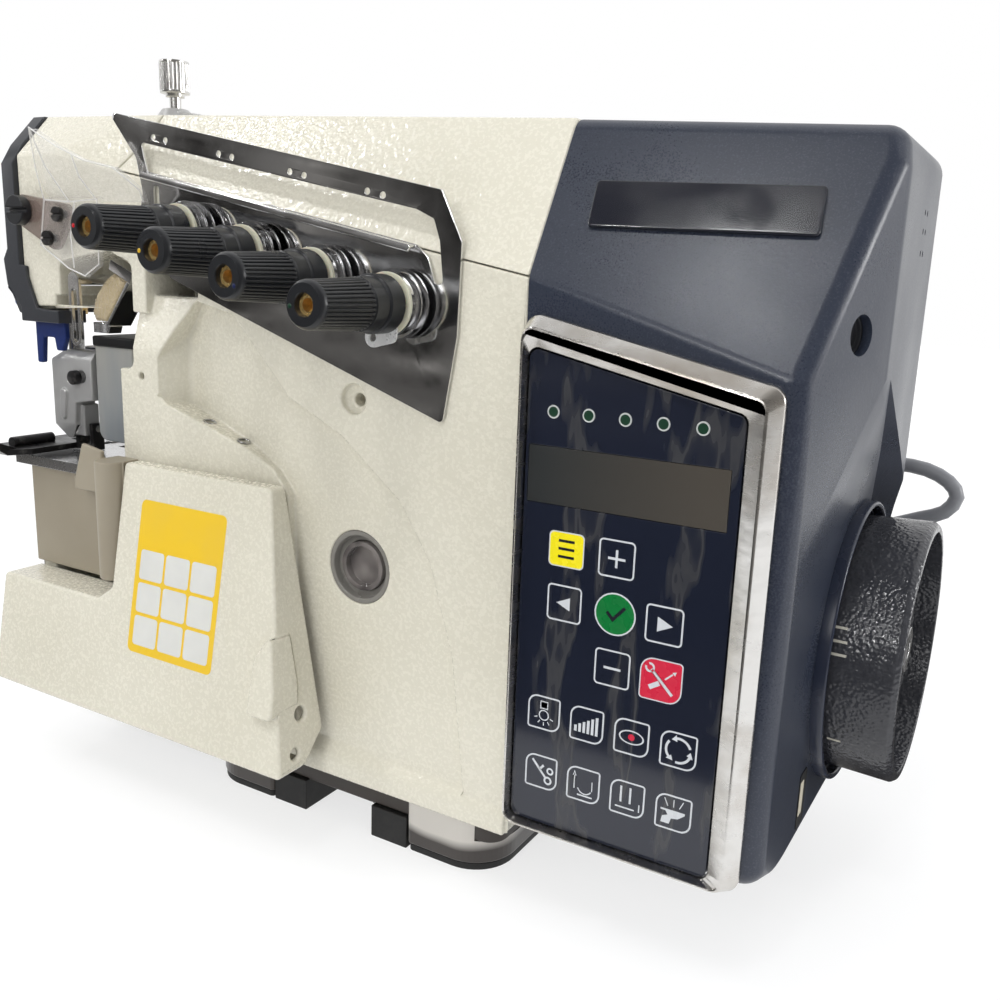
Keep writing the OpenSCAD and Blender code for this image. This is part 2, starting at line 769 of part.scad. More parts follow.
// Ribbed grip, smooth collar and sleeve of one tension knob, on the post's axis
module tension_knob(n) {
    p = posts[n - 1];
    ribs = 30;
    grip = 24;
    color("#17181a") translate([p[0], knob_front, p[1]]) rotate([-90, 0, 0]) difference() {
        union() {
            translate([0, 0, 1.5]) cylinder(h = grip - 1.5, d1 = knob_d, d2 = knob_d + 1.8);
            cylinder(h = 1.5, d1 = knob_d - 2.2, d2 = knob_d);
            translate([0, 0, grip]) cylinder(h = 6.5, d1 = knob_d + 2, d2 = knob_d + 2.4);
            translate([0, 0, grip + 6.5]) cylinder(h = 7.5, d = sleeve_d);
        }
        translate([0, 0, -1]) cylinder(h = 9, d = 7);
        translate([0, 0, 7]) cylinder(h = 60, d = 5);
        translate([0, 0, 20]) cylinder(h = 40, d = 11.4);
        for (i = [0:ribs - 1]) rotate([0, 0, i * 360 / ribs])
            translate([knob_d / 2 + 0.16, 0, 3]) rotate([0, 2.29, 0])
                cylinder(h = grip - 3.5, d = 0.9, $fn = 8);
    }
}

// ---------- handwheel and drive ----------

module handwheel() {
    hub = shaft_d / 2 + 0.02;    // bore on the shaft
    color("#2a2c30") translate([0, shaft_y, shaft_z]) rotate([0, 90, 0]) difference() {
        rotate_extrude() polygon([
            [hub, 152], [22, 152], [22, 166], [wheel_d / 2 - 4, 166], [wheel_d / 2 - 2, 168],
            [wheel_d / 2 - 1, 176], [wheel_d / 2, rim_x - 2], [wheel_d / 2 - 1.5, rim_x],
            [wheel_d / 2 - 4, rim_x], [wheel_d / 2 - 6, 177], [24, 174], [21, 178],
            [20, hub_x - 1], [19, hub_x], [hub, hub_x]
        ]);
        rotate([0, 0, 118]) translate([0, 0, 187]) rotate([0, 90, 0]) cylinder(h = 60, d = 7);
    }
}

module main_shaft() {
    color("#a8a9ab") difference() {
        union() {
            rod_x(arm_left + 5, 188, shaft_y, shaft_z, shaft_d);
            rod_x(-138, -132, shaft_y, shaft_z, 34);
            rod_x(-70, -58, shaft_y, shaft_z, 30);
            rod_x(10, 22, shaft_y, shaft_z, 34);
        }
        rod_x(168, 190, shaft_y, shaft_z, 8.04);
    }
}

module wheel_bolt() {
    color("silver") difference() {
        union() {
            rod_x(hub_x, hub_x + 1.6, shaft_y, shaft_z, 17);
            rod_x(172, hub_x, shaft_y, shaft_z, 8);
        }
        translate([hub_x - 3, shaft_y, shaft_z]) rotate([0, 90, 0]) cylinder(h = 6, d = 7, $fn = 6);
    }
}

module motor_rotor() {
    color("#8f9092") difference() {
        rod_x(100, 142, shaft_y, shaft_z, 46);
        rod_x(90, 150, shaft_y, shaft_z, shaft_d);
    }
}

module motor_stator() {
    color("#5f5348") difference() {
        union() {
            rod_x(98, 144, shaft_y, shaft_z, 78);
            box([joint_x, shaft_y - 30, shaft_z - 30], [99, shaft_y + 30, shaft_z + 30]);
        }
        rod_x(80, 160, shaft_y, shaft_z, 48);
    }
}

module shaft_bearings() {
    color("#b4b5b8") for (x = [joint_x - 12, arm_left + 4]) {
        difference() {
            rod_x(x, x + 9, shaft_y, shaft_z, 35);
            rod_x(x - 1, x + 10, shaft_y, shaft_z, shaft_d + 2 * fit);
            difference() {
                rod_x(x - 1, x + 1, shaft_y, shaft_z, 29);
                rod_x(x - 2, x + 2, shaft_y, shaft_z, 21);
            }
        }
    }
}

// ---------- looper cover ----------

// Front view of the looper cover: a tall right half and a low left half
module cover_outline(inset = 0) {
    top = plate_z + 5;
    step_x = column_x + 11;
    offset(r = 2) offset(delta = -2 - inset) polygon([
        [arm_left, body_z + 8], [cover_right, body_z + 8],
        [cover_right - 20, top], [step_x, top], [step_x, 92], [step_x - 8, 86], [arm_left, 86]
    ]);
}

module cover_block(inset = 0) {
    top = plate_z + 5;
    front = face_y - 8;
    foot = front - cover_bulge;
    intersection() {
        front_extrude(foot - 5, face_y + 10) cover_outline(inset);
        side_prism([
            [foot + inset, body_z + 8], [foot + 11, body_z + 6], [face_y - 1.2, pin_z + 3],
            [face_y - 1.2, top + 5], [front + inset, top + 5]
        ], arm_left - 5, cover_right + 5);
    }
}

module looper_cover() {
    color("ivory") difference() {
        union() {
            difference() {
                cover_block();
                translate([0, 2.6, 0]) cover_block(2.6);
            }
            // lugs on the hinge pin
            for (x = [-110, -30]) box([x, pin_y - 12, pin_z - 4], [x + 8, pin_y + 4, pin_z + 4]);
            // finger tab on the right edge
            intersection() {
                front_extrude(face_y - 34, face_y - 12) offset(r = 2.5) offset(delta = -2.5)
                    polygon([[-10, 61], [2.5, 61], [1.5, 90], [-4, 90], [-9, 82]]);
                translate([1.5, -4, 0]) cover_block();
            }
        }
        rod_x(-125, -15, pin_y, pin_z, pin_d + 2 * fit);
        // room for the casting's lugs while the cover slides and folds
        for (x = [-120, -40])
            box([x - cover_slide - 1.4, pin_y - 8, body_z], [x + 9, pin_y + 6, pin_z + 7]);
        // two holes in the right side
        rod_x(-6, 12, face_y - 12, 59, 5.5);
        rod_x(-6, 12, face_y - 18, 45.5, 4.5);
    }
}

module cover_pin() {
    color("#9a9a9c") rod_x(-124, -18, pin_y, pin_z, pin_d);
}

// ---------- needle area ----------

module needle_bar() {
    color("#c9cacc") rod_z(needle_x, needle_y, 166, 262, 7);
}

module needle_bar_bushes() {
    color("#b08d4a") for (z = [arm_z - 3, 244]) difference() {
        rod_z(needle_x, needle_y, z, z + 13, 11);
        rod_z(needle_x, needle_y, z - 1, z + 20, 7 + 2 * fit);
    }
}

module needle_clamp() {
    color("#8b8c90") difference() {
        union() {
            rod_z(needle_x, needle_y, 161, 171, 10);
            box([needle_x - 3.5, needle_y - 7, 161], [needle_x + 3.5, needle_y, 168]);
        }
        rod_z(needle_x, needle_y, 166, 172, 7);
        for (x = [-1.4, 1.4]) rod_z(needle_x + x, needle_y, 150, 167, 1.7);
    }
}

module needles() {
    color("#dcdde0") for (x = [-1.4, 1.4]) {
        rod_z(needle_x + x, needle_y, 156, 166, 1.7);
        rod_z(needle_x + x, needle_y, 146, 156, 0.9);
    }
}

// Die-cast arm: a bar from the lifting pin to a head with bevelled edges and a leg
module presser_arm() {
    head = presser_y;
    color("#a7a8aa") difference() {
        union() {
            box([-142.4, head + 6, lift_z - 5], [-130.6, lift_y, lift_z + 4]);
            rod_x(-142.4, -130.6, lift_y, lift_z, 11);
            intersection() {
                front_prism([[-162, 166], [-157.5, 179.5], [-151, 184], [-131, 184], [-131, 163],
                    [-142.5, 161], [-143.5, 151], [-149, 144.5], [-152, 144.5], [-159, 151],
                    [-159.3, 163.5]], head, head + 10.5);
                // bevel down the left side
                translate([0, 0, 130]) linear_extrude(70) polygon([[-164, head + 5], [-157, head],
                    [-120, head], [-120, head + 11], [-164, head + 11]]);
                // bevel along the top and the foot of the leg
                side_prism([[head, 152], [head, 180], [head + 3.4, 185], [head + 11, 185],
                    [head + 11, 140], [head + 3.6, 140]], -165, -120);
            }
            // rib down the leg
            front_extrude(head - 1, head + 3) hull() {
                translate([-149.5, 165]) circle(d = 4.4);
                translate([-150.5, 155]) circle(d = 3.4);
            }
            // lug between the foot's ears
            box([-148, head + 3, 146], [-141, foot_pin_y + 3, 160]);
        }
        // room for the needle clamp behind the head
        box([-170, head + 4.2, 135], [-149.5, head + 20, 200]);
        // room for the ear of the foot
        box([-170, head + 4.2, 135], [-148, head + 20, 152.3]);
        rod_x(-145, -128, lift_y, lift_z, 6 + 2 * fit);
        rod_x(-153, -136, foot_pin_y, foot_pin_z, 3);
        rod_y(-137.4, head - 2, head + 5, 173, 5);
        rod_y(-145.6, head - 2, head + 5, 171, 3);
    }
}

module presser_pin() {
    color("#9a9a9c") rod_x(-149, -124, lift_y, lift_z, 6);
}

module presser_foot() {
    front = -86;
    sole = plate_z + 1.4;
    color("#1c1c1e") difference() {
        union() {
            translate([0, 0, sole]) linear_extrude(2.6) offset(r = 1.5) offset(delta = -1.5)
                polygon([[-172, front + 4], [-166, front], [-155, front], [-150, front + 8],
                    [-150, -40], [-172, -40]]);
            side_prism([[front - 6, sole + 4.1], [front, sole], [front + 4, sole],
                [front + 4, sole + 2.6], [front - 5, sole + 6.6]], -170, -155);
            // spring housing on the sole
            rod_y(-161, front + 6, -60, sole + 4.2, 5);
            for (x = [-150.6, -140.7]) box([x, foot_pin_y - 3, sole], [x + 2.3, foot_pin_y + 3, 151.5]);
            box([-151.5, foot_pin_y - 3, sole], [-138.4, foot_pin_y + 3, sole + 2.6]);
        }
        rod_x(-153, -136, foot_pin_y, foot_pin_z, 3 + 2 * fit);
        box([needle_x - 4, needle_y - 3, plate_z], [needle_x + 4, -38, plate_z + 8]);
    }
}

module foot_pin() {
    color("#9a9a9c") rod_x(-150.6, -138.4, foot_pin_y, foot_pin_z, 3);
}

module needle_plate() {
    color("#b9babd") difference() {
        box([-167, face_y - 7.6, plate_z - 4.5], [-108, 20, plate_z]);
        box([needle_x - 4, needle_y - 2, 0], [needle_x + 4, needle_y + 2, 200]);
        for (x = [-160.5, -146.5]) box([x, -36, 0], [x + 5, 4, 200]);
    }
}

module feed_dog() {
    color("#8f9092") difference() {
        union() {
            for (x = [-160, -146]) box([x, -32, plate_z - 12], [x + 4, 0, plate_z + 0.6]);
            box([-160, -20, plate_z - 18], [-142, -12, plate_z - 11]);
        }
        for (x = [-160, -146], i = [0:7])
            translate([x - 1, -30 + i * 4, plate_z + 0.6]) rotate([45, 0, 0]) cube([6, 1, 1]);
    }
}

module looper_pins() {
    color("#9a9a9c") for (x = [-112, -62]) rod_y(x, -46, -18, looper_z, 8);
}

// Hub on a rocking pin with an arm and a blade that points to the needle
module looper(x, reach, rise) {
    top = looper_z + rise;
    tip = x + reach;
    bend = x + reach * 0.4;
    color("#b9babd") difference() {
        union() {
            rod_y(x, -46, -36, looper_z, 16);
            front_prism([[x - 5, looper_z + 5.5], [x + 5, looper_z + 5.5], [bend + 3, top],
                [bend - 5, top]], -45.4, -38);
            front_prism([[bend - 4, top - 9], [bend + 2, top - 1], [tip, top + 6],
                [tip - 1, top + 4.4]], -44.6, -41.6);
        }
        rod_y(x, -50, -30, looper_z, 8 + 2 * fit);
    }
}

module upper_looper() {
    looper(-112, -18, 34);
}

module lower_looper() {
    looper(-62, -34, 30);
}

// ---------- guards, felt and tank ----------

guard_holes = [[-126, 240.4], [-133, 231]];

// Clear visor with a flat foot, one bent sheet
module eye_guard() {
    front = face_y - 8;
    color("#e6e6e4") difference() {
        union() {
            front_prism([[-139, 228], [-134, 247], [-101, 247], [-103, 221], [-112, 216],
                [-122, 219]], front, front + 2);
            intersection() {
                side_prism([[front, 245], [front + 2, 245], [front - 6, 258], [front - 14, 271],
                    [front - 16, 270], [front - 8, 257]], -130, -74);
                front_prism([[-134, 244], [-127, 258], [-118, 272], [-108, 265], [-97, 260],
                    [-82, 257], [-74, 249], [-76, 244]], front - 20, front + 3);
            }
        }
        for (p = guard_holes) rod_y(p[0], front - 5, front + 5, p[1], 3.4);
    }
}

// Arm from the thumb screw to the visor
module guard_arm() {
    color("#b8a698") difference() {
        front_extrude(face_y - 6, face_y - 4) difference() {
            hull() {
                translate([guard_x, guard_z]) circle(d = 13);
                translate(guard_holes[1]) circle(d = 9);
                translate(guard_holes[0]) circle(d = 9);
            }
        }
        rod_y(guard_x, face_y - 10, face_y, guard_z, 6 + 2 * fit);
        for (p = guard_holes) rod_y(p[0], face_y - 10, face_y, p[1], 3.2);
    }
}

module guard_screws() {
    color("#151515") for (p = guard_holes) difference() {
        union() {
            rod_y(p[0], face_y - 10, face_y - 8, p[1], 6);
            rod_y(p[0], face_y - 8, face_y - 4, p[1], 3.2);
        }
        translate([p[0] - 4, face_y - 10.5, p[1] - 0.4]) cube([8, 1.4, 0.8]);
    }
}

// Slotted shoulder screw on which the guard swings
module thumb_screw() {
    color("#151515") difference() {
        union() {
            rod_y(guard_x, face_y - 10.5, face_y - 6.1, guard_z, 12);
            rod_y(guard_x, face_y - 6.1, face_y - 0.4, guard_z, 6);
            rod_y(guard_x, face_y - 3.6, face_y - 0.4, guard_z, 9);
            rod_y(guard_x, face_y - 0.4, face_y + 8, guard_z, 5);
        }
        translate([guard_x - 7, face_y - 11, guard_z - 0.8]) cube([14, 2.4, 1.6]);
    }
}

// Oiled felt held between two folded ends of the bracket
module felt_wiper() {
    color("#d8c79c") front_extrude(face_y + 9, face_y + 14.4) offset(r = 1) offset(delta = -1)
        polygon([[-117.6, 218.3], [-108.9, 214.6], [-122, 197.2], [-130.4, 197.2],
            [-132.4, 201.5], [-129, 209], [-123.4, 214.8]]);
}

// Bright pieces of the needle area: the felt's bracket and a looped thread guide
module wiper_bracket() {
    front = face_y + 8.6;
    color("silver") union() {
        // sloping sheet beside the felt, with an ear to the wall of the notch
        front_prism([[-107.4, 214.6], [-105.8, 213.6], [-120.2, 195.6], [-121.4, 196.6]],
            face_y + 8, face_y + 20);
        box([-107, face_y + 16, 213], [-96.1, face_y + 18, 219]);
        // folded ends
        front_prism([[-119, 219.4], [-108.4, 214.8], [-106, 213.7], [-104.4, 218.4],
            [-117.4, 223.6]], front, front + 6.4);
        front_prism([[-130.4, 197], [-121, 197], [-119.4, 195.6], [-120.6, 192.6],
            [-130.4, 192.6]], front, front + 6.4);
        // thread guide, a long loop that hangs in front of the notch
        front_extrude(face_y + 1.5, face_y + 3.1) difference() {
            hull() for (z = [190.4, 214.5]) translate([-132.8, z]) circle(d = 6.8);
            hull() for (z = [190.4, 209]) translate([-132.8, z]) circle(d = 3.6);
        }
        rod_y(-132.8, face_y + 3, face_y + 21.9, 214.5, 5);
    }
}

// Clouded reservoir with its dark lid, hung on the column
module oil_tank() {
    color("#b9bdc0") difference() {
        union() {
            intersection() {
                front_extrude(face_y + 8, face_y + 30) tank_outline();
                box([-140, -200, 140], [-100, 200, tank_top + 0.1]);
            }
            box([-129.9, face_y + 7, tank_top], [column_x, face_y + 31, tank_top + 4.4]);
            box([-107, face_y + 12, 160], [column_x, face_y + 26, 183]);
        }
        intersection() {
            front_extrude(face_y + 9.5, face_y + 28.5) offset(delta = -1.5) tank_outline();
            box([-140, -200, 140], [-100, 200, tank_top]);
        }
    }
}

tank_top = 187;
module tank_outline() {
    offset(r = 5) offset(delta = -5)
        polygon([[-129.6, 146], [-106, 146], [-106, tank_top + 5], [-129.6, tank_top + 5]]);
}

module chip_guard() {
    color("#a59f90") union() {
        // upright rounded ridge
        translate([column_x + 3.6, face_y - 10, 93]) cylinder(h = 50, d = 12.6);
        box([column_x - 2.7, face_y - 9, 93], [column_x + 9.9, face_y - 0.6, 143]);
        // plate behind it that closes the front of the bed
        box([arm_left, face_y - 3, 88], [column_x - 2, face_y - 0.6, 133]);
        // lip under the cloth
        front_prism([[-124, 132], [column_x - 2, 132], [column_x - 2, 146], [-118, 148]],
            face_y - 10, face_y - 8);
        box([-124, face_y - 10, 128], [column_x - 2, face_y - 0.6, 133]);
    }
}

module pressure_boss() {
    top = body_top(pressure[0]);
    color("#a7a8aa") difference() {
        union() {
            rod_z(pressure[0], pressure[1], top - 3, top + 1, 23.6);
            translate([pressure[0], pressure[1], top + 1]) cylinder(h = 6, d1 = 20, d2 = 11);
            // flat tongue to the right
            front_prism([[pressure[0], top + 3], [pressure[0] + 30, top + 1], [pressure[0] + 30, top + 2],
                [pressure[0] + 4, top + 6], [pressure[0], top + 6]], pressure[1] - 4, pressure[1] + 4);
            rod_z(pressure[0], pressure[1], 250, top, 8);
        }
        rod_z(pressure[0], pressure[1], 240, top + 40, 5);
    }
}

module pressure_knob() {
    top = body_top(pressure[0]) + 13.5;
    color("silver") difference() {
        union() {
            rod_z(pressure[0], pressure[1], top, top + 13, 12.6);
            rod_z(pressure[0], pressure[1], top - 1.5, top, 8);
            rod_z(pressure[0], pressure[1], 245, top, 5 - 2 * fit);
        }
        for (i = [0:23]) rotate_about(pressure, i * 15)
            translate([6.4, 0, top + 1]) cylinder(h = 11, d = 0.9, $fn = 8);
    }
}

module rotate_about(p, a) {
    translate([p[0], p[1], 0]) rotate([0, 0, a]) children();
}

// ---------- cable ----------

cable_d = 6;
cable_ends = [[150, 146], [150, 116]];
cable_route = [
    [150, 89, 146], [150, 93, 146], [154, 97, 148], [164, 100, 150], [176, 101, 151],
    [188, 101, 150], [197, 101, 146], [201, 101, 140], [197, 101, 133], [188, 101, 129],
    [176, 101, 124], [164, 100, 119], [154, 97, 116], [150, 93, 116], [150, 89, 116]
];

module cable_glands() {
    color("#1b1d22") for (p = cable_ends) difference() {
        union() {
            rod_y(p[0], housing_rear - 0.15, housing_rear + 4, p[1], 15);
            rod_y(p[0], housing_rear - 6, housing_rear, p[1], 11.9);
        }
        rod_y(p[0], housing_rear - 8, housing_rear + 3, p[1], cable_d);
        rod_y(p[0], housing_rear - 8, housing_rear + 6, p[1], cable_d);
    }
}

// Point on a smooth curve through the route at parameter t of span i
function route(i) = cable_route[min(max(i, 0), len(cable_route) - 1)];
function smooth(i, t) = let (a = route(i - 1), b = route(i), c = route(i + 1), d = route(i + 2))
    0.5 * (2 * b + (c - a) * t + (2 * a - 5 * b + 4 * c - d) * t * t
        + (3 * b - a - 3 * c + d) * t * t * t);

module cable() {
    sides = 10;
    steps = 2;
    spine = [for (i = [0:len(cable_route) - 2], k = [0:steps - 1]) smooth(i, k / steps),
        route(len(cable_route) - 1)];
    n = len(spine);
    tangent = [for (i = [0:n - 1]) let (v = spine[min(i + 1, n - 1)] - spine[max(i - 1, 0)]) v / norm(v)];
    up = [0, 0.1, 1];
    rings = [for (i = [0:n - 1]) let (
            u = cross(tangent[i], [1, 0, 0.02]),
            s = norm(u) > 0.05 ? u / norm(u) : up,
            w = cross(tangent[i], s))
        for (k = [0:sides - 1])
            spine[i] + cable_d / 2 * (s * cos(k * 360 / sides) + w * sin(k * 360 / sides))];
    faces = concat(
        [[for (k = [0:sides - 1]) k]],
        [for (i = [0:n - 2], k = [0:sides - 1])
            [i * sides + k, (i + 1) * sides + k, (i + 1) * sides + (k + 1) % sides,
                i * sides + (k + 1) % sides]],
        [[for (k = [sides - 1:-1:0]) (n - 1) * sides + k]]);
    color("#8d8f93") polyhedron(rings, faces);
}

body_casting();
top_cover();
rear_plate();
end_cover();
end_housing();
housing_back();
base_pan();
foot_castings();
rubber_feet();
control_frame();
keypad();
display_window();
badge_plate();
side_plug();
sight_ring();
sight_lens();
tension_plate();
tension_posts();
tension_springs();
tension_discs();
tension_washers();
thread_eyelets();
tension_knob(1);  // tension_knob_1
tension_knob(2);  // tension_knob_2
tension_knob(3);  // tension_knob_3
tension_knob(4);  // tension_knob_4
handwheel();
main_shaft();
wheel_bolt();
motor_rotor();
motor_stator();
shaft_bearings();
looper_cover();
cover_pin();
needle_bar();
needle_bar_bushes();
needle_clamp();
needles();
presser_arm();
presser_pin();
presser_foot();
foot_pin();
pressure_knob();
pressure_boss();
needle_plate();
feed_dog();
upper_looper();
lower_looper();
looper_pins();
eye_guard();
guard_arm();
guard_screws();
thumb_screw();
felt_wiper();
wiper_bracket();
oil_tank();
release_lever();
chip_guard();
cable();
cable_glands();
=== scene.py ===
import json
import math

import bpy
from mathutils import Matrix, Vector

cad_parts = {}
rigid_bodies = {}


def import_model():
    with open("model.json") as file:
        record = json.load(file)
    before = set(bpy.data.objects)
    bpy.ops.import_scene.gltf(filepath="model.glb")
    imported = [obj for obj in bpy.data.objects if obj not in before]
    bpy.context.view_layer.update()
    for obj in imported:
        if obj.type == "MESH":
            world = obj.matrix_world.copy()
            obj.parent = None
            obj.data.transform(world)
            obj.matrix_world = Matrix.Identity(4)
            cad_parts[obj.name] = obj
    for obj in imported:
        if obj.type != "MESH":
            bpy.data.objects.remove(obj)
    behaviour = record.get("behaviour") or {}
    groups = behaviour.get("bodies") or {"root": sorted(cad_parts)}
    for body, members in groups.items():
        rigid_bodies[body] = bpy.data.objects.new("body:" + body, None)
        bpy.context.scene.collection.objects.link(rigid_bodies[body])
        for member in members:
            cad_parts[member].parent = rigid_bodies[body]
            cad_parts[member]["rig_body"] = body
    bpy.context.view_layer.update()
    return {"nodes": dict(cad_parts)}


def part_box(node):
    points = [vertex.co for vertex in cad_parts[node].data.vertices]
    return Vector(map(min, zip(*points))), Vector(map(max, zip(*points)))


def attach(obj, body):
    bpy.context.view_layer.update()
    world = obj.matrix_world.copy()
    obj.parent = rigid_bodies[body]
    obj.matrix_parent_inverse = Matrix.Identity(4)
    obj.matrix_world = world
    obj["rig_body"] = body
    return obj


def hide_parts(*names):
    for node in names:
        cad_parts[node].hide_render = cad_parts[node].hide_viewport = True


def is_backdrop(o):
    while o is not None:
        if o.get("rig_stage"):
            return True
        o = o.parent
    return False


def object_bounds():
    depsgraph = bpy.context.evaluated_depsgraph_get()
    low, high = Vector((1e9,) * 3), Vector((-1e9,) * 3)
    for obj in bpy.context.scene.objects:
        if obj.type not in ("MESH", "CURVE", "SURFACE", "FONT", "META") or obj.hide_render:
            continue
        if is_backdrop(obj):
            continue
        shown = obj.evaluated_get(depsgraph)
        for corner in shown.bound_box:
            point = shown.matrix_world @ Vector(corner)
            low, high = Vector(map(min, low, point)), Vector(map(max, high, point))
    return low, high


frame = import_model()
bpy.ops.object.select_all(action="DESELECT")

# ----------------------------------------
# Studio: a white floor and surround, broad soft lamps above, in front and on the right,
# small ones for the glints, and dim cards that only reflections show, for the plating.

mm = 0.001
camera_data = bpy.data.cameras.new("camera")
camera_data.sensor_width = 36
camera_data.lens = 35.74
camera = bpy.data.objects.new("camera", camera_data)
camera.location = (239.1 * mm, -342.7 * mm, 223.9 * mm)
camera.rotation_euler = (math.radians(77.098), math.radians(-2.061), math.radians(30.533))
bpy.context.collection.objects.link(camera)
bpy.context.scene.camera = camera
bpy.context.scene.view_settings.view_transform = "Standard"


def sheet(name, loudness, across, up, place, turn=(0, 0, 0)):
    """A staged plane: gives its node tree and an emission shader in it."""
    bpy.ops.mesh.primitive_plane_add(size=1)
    plane = bpy.context.object
    plane.name = name
    plane.scale = (across, up, 1)
    plane.location = place
    plane.rotation_euler = turn
    paint = bpy.data.materials.new(name)
    paint.use_nodes = True
    glow = paint.node_tree.nodes.new("ShaderNodeEmission")
    glow.inputs["Strength"].default_value = loudness
    plane.data.materials.append(paint)
    plane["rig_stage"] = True
    return paint.node_tree, glow


def set_stops(ramp, stops):
    """Gives a ramp its stops, each a place and a colour or a grey."""
    while len(ramp.elements) < len(stops):
        ramp.elements.new(0.5)
    for stop, (at, tone) in zip(ramp.elements, stops):
        stop.position = at
        stop.color = (tone, tone, tone, 1) if isinstance(tone, float) else (*tone, 1)


def stepped(tree, source, *stops):
    """A ramp from one value to colours."""
    ramp = tree.nodes.new("ShaderNodeValToRGB")
    set_stops(ramp.color_ramp, stops)
    tree.links.new(source, ramp.inputs[0])
    return ramp.outputs[0]


def seen(tree):
    """1 for a ray from the camera, a reflection or glass, 0 for light on the object."""
    ray = tree.nodes.new("ShaderNodeLightPath")
    total = ray.outputs["Is Camera Ray"]
    for kind in ("Is Glossy Ray", "Is Transmission Ray"):
        either = tree.nodes.new("ShaderNodeMath")
        either.operation = "MAXIMUM"
        tree.links.new(total, either.inputs[0])
        tree.links.new(ray.outputs[kind], either.inputs[1])
        total = either.outputs[0]
    return total


floor, glow = sheet("floor", 1.15, 8, 8, (0, 0, 0))
paper = floor.nodes["Principled BSDF"]
paper.inputs["Base Color"].default_value = (0.86, 0.86, 0.86, 1)
paper.inputs["Roughness"].default_value = 0.9
spot = floor.nodes.new("ShaderNodeTexCoord")
ball = floor.nodes.new("ShaderNodeTexGradient")
ball.gradient_type = "SPHERICAL"
floor.links.new(spot.outputs["Object"], ball.inputs["Vector"])
near = stepped(floor, ball.outputs["Fac"], (0.80, (1, 1, 1)), (0.93, (0.62, 0.62, 0.62)))
share = floor.nodes.new("ShaderNodeMath")
share.operation = "MULTIPLY"
floor.links.new(near, share.inputs[1])
blend = floor.nodes.new("ShaderNodeMixShader")
floor.links.new(seen(floor), share.inputs[0])
floor.links.new(share.outputs[0], blend.inputs[0])
floor.links.new(paper.outputs[0], blend.inputs[1])
floor.links.new(glow.outputs[0], blend.inputs[2])
floor.links.new(blend.outputs[0], floor.nodes["Material Output"].inputs["Surface"])

# Glowing cards seen only in glossy reflections, each with blotches of dark and pale tones: painted
# reflections of a dim room for the plating. room_shade lies on the floor behind the right end and
# paints a dark reflection into the housing's lower facets and the wheel's underside.
for name, across, up, place, turn, tones in (
        ("room_wall", 9, 2.6, (-1.0, -3.0, 1.3), (90, 0, 0), (0.02, 0.10, 0.32, 0.75)),
        ("room_side", 4, 2.6, (3.0, -1.2, 1.3), (90, 0, 90), (0.10, 0.20, 0.36, 0.80)),
        ("room_ceiling", 9, 2.7, (-1.0, -1.65, 2.6), (0, 0, 0), (0.05, 0.12, 0.25, 0.55)),
        ("room_mat", 9, 2.8, (-1.0, -1.6, 0.002), (0, 0, 0), (0.02, 0.08, 0.26, 0.60)),
        ("room_shade", 0.17, 0.46, (0.235, 0.24, 0.002), (0, 0, 0), (0.03, 0.06, 0.10, 0.20))):
    room, glow = sheet(name, 1, across, up, place, tuple(math.radians(angle) for angle in turn))
    card = bpy.context.object
    card.visible_camera = False
    card.visible_diffuse = False
    card.visible_transmission = False
    card.visible_shadow = False
    spot = room.nodes.new("ShaderNodeTexCoord")
    reflection_blotches = room.nodes.new("ShaderNodeTexNoise")
    reflection_blotches.inputs["Scale"].default_value = 7.0
    reflection_blotches.inputs["Detail"].default_value = 2.0
    room.links.new(spot.outputs["Object"], reflection_blotches.inputs["Vector"])
    warm = [(tone, tone * 0.96, tone * 0.91) for tone in tones]
    tone = stepped(room, reflection_blotches.outputs["Fac"], *zip((0.40, 0.52, 0.60, 0.68), warm))
    room.links.new(tone, glow.inputs["Color"])
    room.links.new(glow.outputs[0], room.nodes["Material Output"].inputs["Surface"])

# sockets of a Mix node set to colours: the share, both tones and the result
mix_share, mix_first, mix_second, mix_out = 0, 6, 7, 2
world = bpy.data.worlds.new("surround")
bpy.context.scene.world = world
world.use_nodes = True
sky = world.node_tree
direction = sky.nodes.new("ShaderNodeTexCoord")
side = sky.nodes.new("ShaderNodeSeparateXYZ")
sky.links.new(direction.outputs["Generated"], side.inputs[0])
daylight = stepped(sky, side.outputs["Z"], (0.0, (0.26, 0.26, 0.27)), (0.75, (0.84, 0.85, 0.87)))
surround = sky.nodes.new("ShaderNodeMix")
surround.data_type = "RGBA"
surround.inputs[mix_second].default_value = (1, 1, 1, 1)
sky.links.new(seen(sky), surround.inputs[mix_share])
sky.links.new(daylight, surround.inputs[mix_first])
sky.links.new(surround.outputs[mix_out], sky.nodes["Background"].inputs["Color"])


def lamp(name, place, aim, size, power, mirrored=True):
    """Soft rectangular lamp that looks at a point; mirrored False keeps it out of reflections."""
    data = bpy.data.lights.new(name, "AREA")
    data.shape = "RECTANGLE"
    data.size, data.size_y = size
    data.energy = power
    light = bpy.data.objects.new(name, data)
    light.location = place
    light.rotation_euler = (Vector(aim) - Vector(place)).to_track_quat("-Z", "Y").to_euler()
    light.visible_glossy = mirrored
    bpy.context.collection.objects.link(light)


lamp("lamp_above", (0.0, -0.35, 1.6), (0, 0, 0.15), (1.5, 1.0), 5.6, False)
lamp("lamp_front", (0.15, -1.4, 0.9), (0, 0, 0.15), (0.9, 0.6), 4.4)
lamp("lamp_spark", (-0.03, -1.35, 0.68), (0.15, 0, 0.15), (0.06, 0.06), 1.6)
lamp("lamp_key", (0.10, -0.90, 1.5), (0.1, 0, 0.2), (0.15, 0.12), 2.6)
lamp("lamp_left", (-1.02, -0.70, 1.5), (-0.1, 0, 0.2), (0.10, 0.10), 3.6)
lamp("lamp_low", (-1.45, -1.10, 0.72), (-0.1, 0, 0.2), (0.08, 0.08), 1.4)
lamp("lamp_right", (1.53, 0.50, 0.52), (0.15, 0, 0.2), (0.4, 0.5), 7.5)

